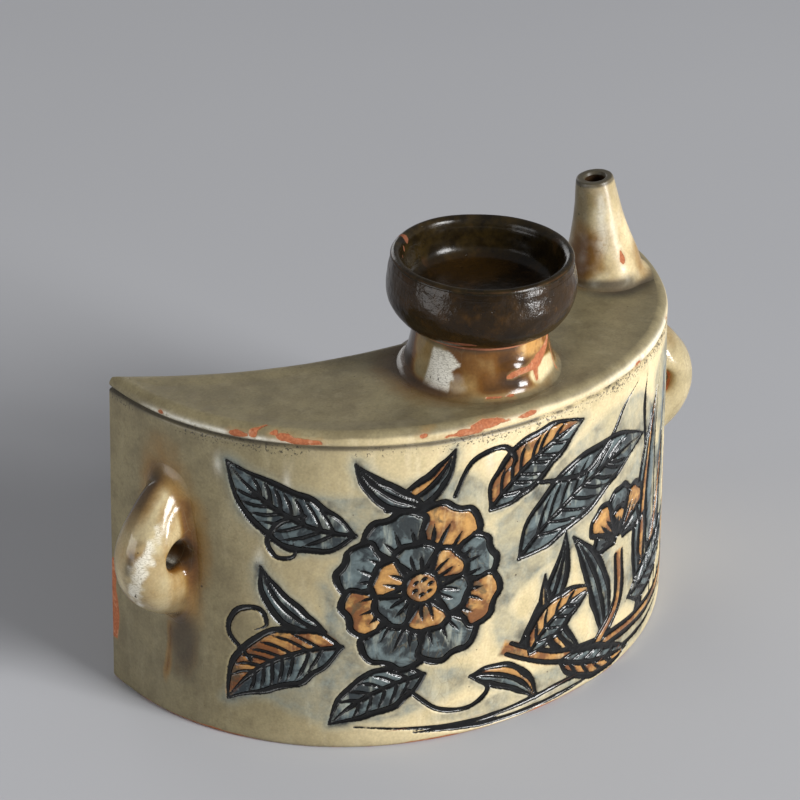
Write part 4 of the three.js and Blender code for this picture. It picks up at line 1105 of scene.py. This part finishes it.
def lug_piece(name, length, side):
    """A pierced ear: a thick pulled strap that is blended into the wall, meshed from a field of distances."""
    rise, drop, reach = 24.0, 26.0, 19.0
    hole_radius, hole_x, hole_z = 4.6, 3.7 if side < 0 else 3.2, -0.4
    from_hole = lambda x, z: np.hypot((x - hole_x) * 1.12, (z - hole_z) * 1.12)
    plan, out = at_length(length)
    foot = plan * growth(LUG_HEIGHT)
    along = np.array([-out[1], out[0]])
    profile = curve_through([
        (-6.0, -drop * 1.06), (0.0, -drop), (reach * 0.5, -drop * 0.80), (reach * 0.86, -drop * 0.50),
        (reach, -drop * 0.14), (reach * 0.92, rise * 0.26), (reach * 0.66, rise * 0.58),
        (reach * 0.26, rise * 0.9), (0.0, rise), (-6.0, rise * 1.1),
    ], 90)
    voxel = 0.5
    xs = np.arange(-7.5, reach + 3, voxel)
    ys = np.arange(-16.0, 16.0 + voxel, voxel)
    zs = np.arange(-drop - 7, rise + 7, voxel)
    gx, gz = np.meshgrid(xs, zs, indexing="ij")
    flat = area_distance(gx.ravel(), gz.ravel(), profile).reshape(gx.shape)[:, None, :]
    X, Y, Z = np.meshgrid(xs, ys, zs, indexing="ij")
    half = 10.2 - 3.2 * smoothstep(Z, -2, rise) - smoothstep(X, 6, reach) - 0.4 * smoothstep(-Z, 16, drop)
    ear = smooth_max(flat, np.abs(Y) - half, 10.0)
    ear = ear + 0.22 * noise(np.stack([X, Y, Z], -1), 9.0, 281 + side, 2) + 0.2
    ear = smooth_max(ear, -(from_hole(X, Z) - hole_radius - 0.2 * (Y / 5) ** 2), 4.6)
    # the wall in the ear's own frame
    dense = DENSE_POINTS * growth(LUG_HEIGHT) - foot
    near = np.hypot(*dense.T) < 26
    bow = np.polyfit(dense[near] @ along, dense[near] @ out, 4)
    lean = BASE_SPREAD / WALL_TOP * np.hypot(*plan) / HALF_WIDTH
    wall = X - np.polyval(bow, Y) + lean * Z * abs(float(np.dot(unit(plan), out))) + WALL_DIP
    solid = np.maximum(smooth_min(ear, wall + 0.16, 4.0), -(X + 6.5))
    grid = openvdb.FloatGrid(3.0)
    grid.copyFromArray(np.ascontiguousarray(np.clip(solid, -3, 3).astype(np.float32)), tolerance=0.0)
    vertices, quads = grid.convertToQuads(isovalue=0.0)
    vertices = np.array(vertices, float)
    quads = np.array(quads)[:, ::-1]

    def field(values, p):
        """A value of the grid at places between its points."""
        i = np.clip(p.astype(int), 0, np.array(values.shape) - 2)
        total = 0.0
        for corner in CELL_CORNERS:
            x, y, z = (i + corner).T
            total = total + corner_share(p - i, corner) * values[x, y, z]
        return total

    normals = unit(np.stack([field(slope, vertices) for slope in np.gradient(solid)], -1))
    axes = enumerate((xs, ys, zs))
    local = np.stack([np.interp(vertices[:, k], np.arange(len(axis)), axis) for k, axis in axes], -1)
    off_ear = field(ear, vertices)
    quads = quads[(off_ear[quads].min(1) < 4.3) & (local[quads][:, :, 0].max(1) > -3.0)]
    used = np.unique(quads)
    number = np.zeros(len(vertices), int)
    number[used] = np.arange(len(used))
    quads, local, normals = number[quads], local[used], normals[used]
    x, y, z = local.T
    basis = np.column_stack([np.append(out, 0), np.append(along, 0), [0, 0, 1]])
    points = local @ basis.T + np.array([foot[0], foot[1], LUG_HEIGHT])
    facing = normals @ basis.T
    corner = points[quads]
    turned = np.cross(corner[:, 1] - corner[:, 0], corner[:, 2] - corner[:, 0])
    if np.einsum("ij,ij->i", turned, facing[quads[:, 0]]).mean() < 0:
        quads = quads[:, ::-1]
    n1, n2 = noise(points, 8.0, 291 + side, 2), noise(points, 3.0, 295 + side, 2)
    amount = 1.0 if side < 0 else 0.4
    in_hole = fade(from_hole(x, z) - 4.9, 1.6)
    upper, right = smoothstep(z, 3, 19), smoothstep(y, 1, 7)
    ridge = np.exp(-(((x - 9.5) / 2.6) ** 2) - ((z - 4) / 6) ** 2)
    stain = amount * np.clip(np.maximum.reduce([
        0.1 + 0.14 * np.clip(n1 + 0.4, 0, 1),
        0.7 * upper * smoothstep(-y, -6, 1) * (0.85 + 0.3 * n1),
        0.4 * right * (1 - smoothstep(x, 7, 14)) * (0.8 + 0.4 * n1),
        0.5 * spot((y - 3.5) / 4, (z - 4) / 6) * (0.8 + 0.4 * n2),
        0.44 * ridge * smoothstep(y, 2, 6) * (0.8 + 0.5 * n2),
        0.98 * in_hole,
    ]), 0, 1)
    crease = np.exp(-(((y - 1.6 - 0.22 * z) / 1.9) ** 2) - ((z - 2) / 9) ** 2)
    heel = 0.75 * right * smoothstep(-z, 8, 18) * (0.8 + 0.4 * n1) * (1 - smoothstep(x, 7, 13))
    dusk = 0.8 * upper * smoothstep(-y, -5, 2) + heel + 0.95 * crease * np.clip(0.75 + 0.9 * n2, 0, 1)
    dusk = amount * (dusk + 0.22 * smoothstep(-y, 2, 7)) + 0.9 * (in_hole > 0.95)
    streak = 1 - np.hypot((y - 4.6 - 0.22 * z) / 2.7, (z + 1) / 19.0) + 0.75 * n2
    frost = smoothstep(streak, -0.1, 0.6) * smoothstep(normals[:, 0], 0.1, 0.5) * (0.85 if side < 0 else 0.15)
    clay = np.full(x.shape, 4.0)
    if side > 0:
        clay = np.abs(from_hole(x, z) - hole_radius) - 0.7 + 0.5 * n2
        clay = clay + 4 * smoothstep(y, -6, -3) + 3 * smoothstep(x, 9, 11)
    own = {"stain": stain, "dusk": np.clip(dusk, 0, 1), "olive": np.clip(0.5 + 0.2 * n1, 0, 1),
           "gloss": 1.0, "clay": clay, "pale": 0.0, "grain": 0.0, "frost": frost}
    # round the ear the glaze is the wall's own
    ground = {**body_fields(points, length + y, LUG_HEIGHT + z), "frost": 0.0}
    made = Piece(name)
    made.add(shifted(points), quads, facing, **blended(ground, own, smoothstep(x, 0.2, 3.6)))
    return made


# ---------------------------------------------------------------- materials

def srgb(red, green, blue):
    def linear(v):
        v /= 255
        return v / 12.92 if v <= 0.04045 else ((v + 0.055) / 1.055) ** 2.4
    return (linear(red), linear(green), linear(blue), 1.0)


class Look:
    """A material made of nodes. Colours are sockets or (red, green, blue) up to 255."""

    def __init__(self, name):
        self.material = bpy.data.materials.new(name)
        self.material.use_nodes = True
        self.tree = self.material.node_tree
        self.shader = self.tree.nodes["Principled BSDF"]
        place, scale = self.node("TexCoord"), self.node("VectorMath")
        scale.operation = "SCALE"
        scale.inputs["Scale"].default_value = 1 / MM
        self.put(scale.inputs[0], place.outputs["Object"])
        self.place = scale.outputs[0]

    def node(self, kind):
        return self.tree.nodes.new("ShaderNode" + kind)

    def put(self, socket, value):
        if hasattr(value, "links"):
            self.tree.links.new(value, socket)
        else:
            socket.default_value = value

    def maths(self, operation, a, b, clamp=False):
        node = self.node("Math")
        node.operation, node.use_clamp = operation, clamp
        self.put(node.inputs[0], a)
        self.put(node.inputs[1], b)
        return node.outputs[0]

    def times(self, a, b):
        return self.maths("MULTIPLY", a, b)

    def plus(self, a, b, clamp=False):
        return self.maths("ADD", a, b, clamp)

    def minus(self, a, b):
        return self.maths("SUBTRACT", a, b)

    def mix(self, share, a, b, kind="MIX"):
        """Colour a where the share is 0 and b where it is 1."""
        node = self.node("Mix")
        node.data_type, node.blend_type = "RGBA", kind
        for place, value in ((0, share), (6, a), (7, b)):
            self.put(node.inputs[place], srgb(*value) if isinstance(value, tuple) else value)
        return node.outputs[2]

    def coat(self, under, colour, source, low, high, amount=1.0):
        """A colour laid over another one where the source goes from low to high."""
        share = self.step(source, low, high)
        return self.mix(share if amount == 1.0 else self.times(share, amount), under, colour)

    def blend(self, share, a, b):
        """Value a where the share is 0 and b where it is 1."""
        node = self.node("Mix")
        for place, value in ((0, share), (2, a), (3, b)):
            self.put(node.inputs[place], value)
        return node.outputs[0]

    def step(self, value, low, high):
        """0 at low and 1 at high, with a smooth rise. Low may be the larger one."""
        node = self.node("MapRange")
        node.interpolation_type = "SMOOTHSTEP"
        turned = low > high
        self.put(node.inputs[0], value)
        node.inputs[1].default_value, node.inputs[2].default_value = (high, low) if turned else (low, high)
        node.inputs[3].default_value, node.inputs[4].default_value = (1.0, 0.0) if turned else (0.0, 1.0)
        return node.outputs[0]

    def stretched(self, x, y, z):
        node = self.node("VectorMath")
        node.operation = "MULTIPLY"
        self.put(node.inputs[0], self.place)
        node.inputs[1].default_value = (x, y, z)
        return node.outputs[0]

    def noise(self, size, detail, rough=0.5, place=None, bend=0.0):
        node = self.node("TexNoise")
        self.put(node.inputs["Vector"], place or self.place)
        values = {"Scale": 1 / size, "Detail": detail, "Roughness": rough, "Distortion": bend}
        for name, value in values.items():
            node.inputs[name].default_value = value
        return node.outputs["Fac"]

    def cracks(self, size, place):
        """Distance to the nearest edge in a net of cells."""
        node = self.node("TexVoronoi")
        node.feature = "DISTANCE_TO_EDGE"
        self.put(node.inputs["Vector"], place)
        node.inputs["Scale"].default_value = 1 / size
        return node.outputs["Distance"]

    def field(self, name):
        node = self.node("Attribute")
        node.attribute_name = name
        return node.outputs["Fac"]

    def spots(self, size, radius, share):
        """Small round spots, one in some of the cells."""
        node, split = self.node("TexVoronoi"), self.node("SeparateColor")
        self.put(node.inputs["Vector"], self.place)
        node.inputs["Scale"].default_value = 1 / size
        self.put(split.inputs[0], node.outputs["Color"])
        reach = self.times(split.outputs[1], radius / size)
        spot = self.step(self.minus(node.outputs["Distance"], reach), 0.02, -0.02)
        return self.times(spot, self.step(split.outputs[0], 1 - share - 0.01, 1 - share + 0.01))

    def bump(self, height, strength):
        node = self.node("Bump")
        node.inputs["Strength"].default_value = strength
        node.inputs["Distance"].default_value = MM
        self.put(node.inputs["Height"], height)
        return node.outputs[0]

    def finish(self, colour, roughness, normal=None, specular=0.5):
        self.put(self.shader.inputs["Base Color"], colour)
        self.put(self.shader.inputs["Roughness"], roughness)
        self.shader.inputs["Specular IOR Level"].default_value = specular
        if normal is not None:
            self.put(self.shader.inputs["Normal"], normal)
        return self.material


def cream_glaze():
    look = Look("cream_ash_glaze")
    large, middle = look.noise(38, 3), look.noise(11, 4, 0.6)
    small, fine = look.noise(2.6, 3, 0.6), look.noise(0.8, 2)
    runs = look.noise(5, 4, 0.6, look.stretched(1, 1, 0.22))
    waver, ripple = look.minus(middle, 0.5), look.minus(small, 0.5)
    colour = look.mix(look.step(large, 0.35, 0.65), (216, 200, 162), (200, 185, 147))
    colour = look.coat(colour, (178, 164, 126), middle, 0.48, 0.7, 0.6)
    colour = look.coat(colour, (226, 214, 184), runs, 0.5, 0.72, 0.45)
    # The olive tone: an olive glaze, and painted shade on the left of the front and on the top.
    olive = look.mix(look.step(middle, 0.3, 0.7), (136, 127, 98), (116, 107, 82))
    olive = look.coat(olive, (152, 144, 116), runs, 0.5, 0.75, 0.4)
    olive = look.coat(olive, (96, 86, 62), small, 0.5, 0.75, 0.4)
    colour = look.mix(look.field("olive"), colour, olive)
    # thin khaki, thick brown: one scale for all stains
    stain = look.plus(look.field("stain"), look.times(waver, 0.4))
    stain = look.times(stain, look.step(look.field("stain"), 0.02, 0.2))
    colour = look.coat(colour, (144, 112, 62), stain, 0.04, 0.45, 0.85)
    colour = look.coat(colour, (104, 68, 27), stain, 0.3, 0.66)
    colour = look.coat(colour, (50, 33, 18), stain, 0.62, 0.95)
    colour = look.mix(look.times(look.field("dusk"), 0.85), colour, (58, 54, 48))
    # Near-white laid on where the pale field is: whitish glaze, and painted highlights on the rim and on the
    # spout.
    whitish_and_highlight = look.times(look.field("pale"), look.step(small, 0.2, 0.5))
    colour = look.mix(look.times(whitish_and_highlight, 0.92), colour, (214, 212, 202))
    # washes and ochre inside the drawing, with soft bled edges: dark where they pooled along the lines
    bleed = look.plus(look.times(waver, 6.0), look.times(ripple, 1.6))
    cloud = look.noise(7, 4, 0.6, bend=0.6)
    wash = look.plus(look.field("wash"), bleed)
    along_lines = look.times(look.step(look.field("ink"), 3.2, 0.2), 0.45)
    slate = look.mix(look.plus(along_lines, look.step(cloud, 0.42, 0.62), True), (98, 114, 120), (26, 38, 48))
    slate = look.coat(slate, (168, 174, 164), runs, 0.56, 0.7, 0.5)
    colour = look.coat(colour, (128, 136, 130), wash, 5.0, 0.5, 0.42)
    colour = look.coat(colour, slate, wash, 2.4, -1.2, 0.95)
    ochre = look.plus(look.field("ochre"), look.times(bleed, 0.5))
    along_lines = look.times(look.step(look.field("ink"), 2.2, 0.2), 0.4)
    warm = look.plus(look.step(look.noise(8, 3, 0.6), 0.42, 0.64), along_lines, True)
    amber = look.mix(warm, (188, 142, 80), (110, 62, 26))
    amber = look.coat(amber, (210, 182, 132), runs, 0.54, 0.72, 0.6)
    amber = look.coat(amber, (62, 52, 36), cloud, 0.54, 0.68, 0.8)
    colour = look.coat(colour, amber, ochre, 0.9, -1.0, 0.92)
    # a pale frosted glaze with dark dots and fine wavy cracks
    cracks = look.step(look.cracks(0.9, look.stretched(0.5, 0.5, 1.9)), 0.1, 0.02)
    frost = look.mix(look.times(cracks, 0.55), (226, 223, 212), (120, 114, 100))
    frost = look.coat(frost, (58, 54, 48), look.noise(1.7, 3, 0.7, look.stretched(1, 1, 0.5)), 0.62, 0.7)
    colour = look.mix(look.times(look.field("frost"), look.step(middle, 0.15, 0.4)), colour, frost)
    # fine crazing, dark grains where the glaze pooled, then specks and pinholes
    craze = look.step(look.cracks(3.2, look.stretched(1, 1, 0.4)), 0.03, 0.008)
    craze = look.times(craze, look.step(look.noise(24, 2), 0.5, 0.66))
    colour = look.mix(look.times(craze, 0.3), colour, (120, 106, 78))
    grain = look.minus(look.noise(0.7, 2, 0.5), look.times(look.field("grain"), 0.14))
    grain = look.times(look.step(grain, 0.36, 0.3), look.step(look.field("grain"), 0.05, 0.3))
    colour = look.mix(look.times(grain, 0.85), colour, (52, 48, 42))
    specks = look.maths("MAXIMUM", look.spots(6.4, 0.44, 0.5), look.spots(2.8, 0.24, 0.4))
    colour = look.mix(look.times(specks, 0.8), colour, (58, 44, 32))
    colour = look.mix(0.36, colour, look.mix(fine, (100, 94, 78), (236, 230, 214)), "OVERLAY")
    # ink in the cut lines
    ink = look.step(look.plus(look.field("ink"), look.times(look.minus(fine, 0.5), 0.5)), 0.2, -0.1)
    colour = look.mix(ink, colour, look.mix(look.step(small, 0.5, 0.8), (10, 10, 10), (28, 30, 31)))
    # bare clay where the glaze drew back
    clay_edge = look.plus(look.field("clay"), look.times(ripple, 0.7))
    clay = look.step(clay_edge, 0.08, -0.08)
    colour = look.coat(colour, (150, 118, 74), clay_edge, 0.9, 0.1, 0.4)
    red = look.mix(look.step(fine, 0.3, 0.7), (172, 104, 66), (146, 82, 50))
    red = look.coat(red, (190, 138, 104), small, 0.52, 0.68, 0.6)
    colour = look.mix(clay, colour, red)
    roughness = look.blend(look.field("gloss"), look.blend(middle, 0.36, 0.5), look.blend(middle, 0.08, 0.18))
    for share, value in (
        (look.step(look.field("gloss"), 0.0, -1.0), 0.85), (look.step(wash, 1.0, -1.4), 0.2),
        (look.step(ochre, 1.0, -1.4), 0.2), (ink, 0.16), (look.times(look.field("frost"), 0.8), 0.3),
        (clay, 0.8),
    ):
        roughness = look.blend(share, roughness, value)
    height = look.times(small, 0.05)
    height = look.minus(height, look.times(look.step(look.field("ink"), 0.3, -0.4), 0.3))
    height = look.plus(height, look.times(look.noise(5, 2), 0.14))
    height = look.plus(height, look.times(fine, look.blend(ink, 0.012, 0.06)))
    for share, depth in ((specks, 0.04), (clay, 0.14), (look.times(clay, fine), 0.05)):
        height = look.minus(height, look.times(share, depth))
    return look.finish(colour, roughness, look.bump(height, 0.8), 0.38)


def dark_glaze():
    look = Look("dark_iron_glaze")
    large, middle = look.noise(16, 3), look.noise(5, 4, 0.6)
    small = look.noise(1.6, 3, 0.6)
    ripple = look.minus(small, 0.5)
    colour = look.mix(look.step(large, 0.35, 0.65), (26, 17, 5), (48, 32, 10))
    colour = look.coat(colour, (68, 45, 14), middle, 0.5, 0.75, 0.6)
    olive = look.mix(look.step(middle, 0.3, 0.7), (20, 16, 8), (50, 40, 18))
    colour = look.mix(look.times(look.field("olive"), 0.8), colour, olive)
    stain = look.plus(look.field("stain"), look.times(ripple, 0.6))
    stain = look.times(stain, look.step(look.field("stain"), 0.02, 0.3))
    colour = look.coat(colour, (100, 66, 36), stain, 0.15, 0.9, 0.7)
    colour = look.mix(look.times(look.field("dusk"), look.step(small, 0.46, 0.66)), colour, (18, 16, 16))
    colour = look.mix(look.times(look.spots(3.4, 0.2, 0.5), 0.4), colour, (120, 96, 66))
    clay = look.step(look.plus(look.field("clay"), look.times(ripple, 0.8)), 0.1, -0.1)
    colour = look.mix(clay, colour, look.mix(small, (140, 84, 56), (104, 60, 40)))
    roughness = look.blend(middle, 0.16, 0.28)
    roughness = look.blend(look.step(stain, 0.3, 0.9), roughness, 0.3)
    roughness = look.blend(clay, roughness, 0.75)
    height = look.plus(look.times(look.noise(2.6, 3, 0.6), 0.34), look.times(look.noise(0.9, 2), 0.05))
    height = look.times(height, look.field("gloss"))
    height = look.minus(height, look.times(look.spots(4.6, 0.5, 0.35), 0.14))
    return look.finish(colour, roughness, look.bump(height, 0.9), 0.28)


def bare_clay():
    look = Look("bare_red_clay")
    large, middle = look.noise(24, 3), look.noise(6, 4, 0.6)
    small, fine = look.noise(1.4, 3, 0.7), look.noise(0.45, 2)
    colour = look.mix(look.step(large, 0.35, 0.65), (166, 104, 70), (140, 86, 58))
    colour = look.coat(colour, (118, 78, 56), middle, 0.5, 0.75, 0.6)
    colour = look.coat(colour, (190, 130, 96), small, 0.55, 0.7, 0.5)
    colour = look.mix(look.times(look.spots(3.0, 0.22, 0.5), 0.7), colour, (74, 52, 42))
    drag = look.noise(1.2, 3, 0.6, look.stretched(1, 0.12, 1))
    height = look.plus(look.times(small, 0.16), look.times(fine, 0.05))
    height = look.plus(height, look.times(drag, 0.12))
    return look.finish(colour, look.blend(middle, 0.72, 0.9), look.bump(height, 0.9))


def floor_paint():
    look = Look("pale_floor")
    colour = look.mix(look.noise(400, 2), (176, 177, 181), (184, 185, 188))
    return look.finish(colour, look.blend(look.noise(3, 2), 0.85, 0.95), specular=0.1)


# ---------------------------------------------------------------- floor, light and camera

def floor():
    mesh = bpy.data.meshes.new("floor")
    angles = np.linspace(0, 2 * math.pi, 97)[:-1]
    ring = [(5 * math.cos(a), 5 * math.sin(a), 0.0) for a in angles]
    mesh.from_pydata([(0, 0, 0)] + ring, [], [(0, 1 + k, 1 + (k + 1) % 96) for k in range(96)])
    mesh.materials.append(floor_paint())
    made = bpy.data.objects.new("floor", mesh)
    bpy.context.scene.collection.objects.link(made)


def lamp(name, azimuth, elevation, distance, size, power):
    """A square of light at some metres from the middle of the flask, that faces it."""
    data = bpy.data.lights.new(name, "AREA")
    data.shape, data.size, data.size_y = "RECTANGLE", size[0], size[1]
    data.energy = power
    made = bpy.data.objects.new(name, data)
    a, e = math.radians(azimuth), math.radians(elevation)
    way = Vector((math.sin(a) * math.cos(e), -math.cos(a) * math.cos(e), math.sin(e)))
    aim = Vector((0, 0, 0.07))
    turned = way.to_track_quat("Z", "Y").to_matrix().to_4x4()
    made.matrix_world = Matrix.Translation(aim + way * distance) @ turned
    bpy.context.scene.collection.objects.link(made)


def world(strength):
    made = bpy.data.worlds.new("studio")
    made.use_nodes = True
    colour = (strength, strength, strength * 1.02, 1)
    made.node_tree.nodes["Background"].inputs["Color"].default_value = colour
    bpy.context.scene.world = made


def camera():
    data = bpy.data.cameras.new("camera")
    data.lens, data.sensor_width, data.clip_start = CAMERA_LENS, 36.0, 0.01
    made = bpy.data.objects.new("camera", data)
    back = Vector((
        math.sin(CAMERA_AZIMUTH) * math.cos(CAMERA_ELEVATION),
        -math.cos(CAMERA_AZIMUTH) * math.cos(CAMERA_ELEVATION),
        math.sin(CAMERA_ELEVATION),
    ))
    right = (-back).cross(Vector((0, 0, 1))).normalized()
    up = right.cross(-back)
    c, s = math.cos(CAMERA_ROLL), math.sin(CAMERA_ROLL)
    turned = Matrix((right * c + up * s, up * c - right * s, back)).transposed()
    place = (Vector(CAMERA_AIM) + back * CAMERA_DISTANCE) * MM
    made.matrix_world = Matrix.Translation(place) @ turned.to_4x4()
    bpy.context.scene.collection.objects.link(made)
    bpy.context.scene.camera = made


bpy.context.scene.view_settings.view_transform = "Standard"
cream, dark, clay = cream_glaze(), dark_glaze(), bare_clay()
on_flask, on_lid = [cream, clay], [dark, clay]
base_piece().make("flask", ["base_slab"], "bare_clay", on_flask)
front_piece.make("flask", ["front_wall"], "cream_glaze", on_flask)
back_piece.make("flask", ["back_wall"], "cream_glaze", on_flask)
top_piece().make("flask", ["top_slab"], "cream_glaze", on_flask)
neck_piece().make("flask", ["neck"], "cream_glaze", on_flask)
spout_piece().make("flask", ["spout"], "cream_glaze", on_flask)
lug_piece("left_lug_glazed", LUG_LENGTHS[0], -1).make("flask", ["left_lug"], "cream_glaze", on_flask)
lug_piece("right_lug_glazed", LUG_LENGTHS[1], 1).make("flask", ["right_lug"], "cream_glaze", on_flask)
lid_piece().make("lid", ["lid_dish"], "dark_glaze", on_lid)
flange_piece().make("lid", ["lid_flange"], "bare_clay", on_lid)
floor()
lamp("key", 22, 26, 5.0, (1.67, 1.83), 288.0)
lamp("low_right", 28, 4, 0.8, (0.18, 0.13), 3.0)
lamp("left_box", -94, 8, 0.75, (0.42, 0.36), 1.7)
lamp("back_fill", 170, 14, 4.0, (2.0, 1.8), 24.0)
world(0.24)
camera()
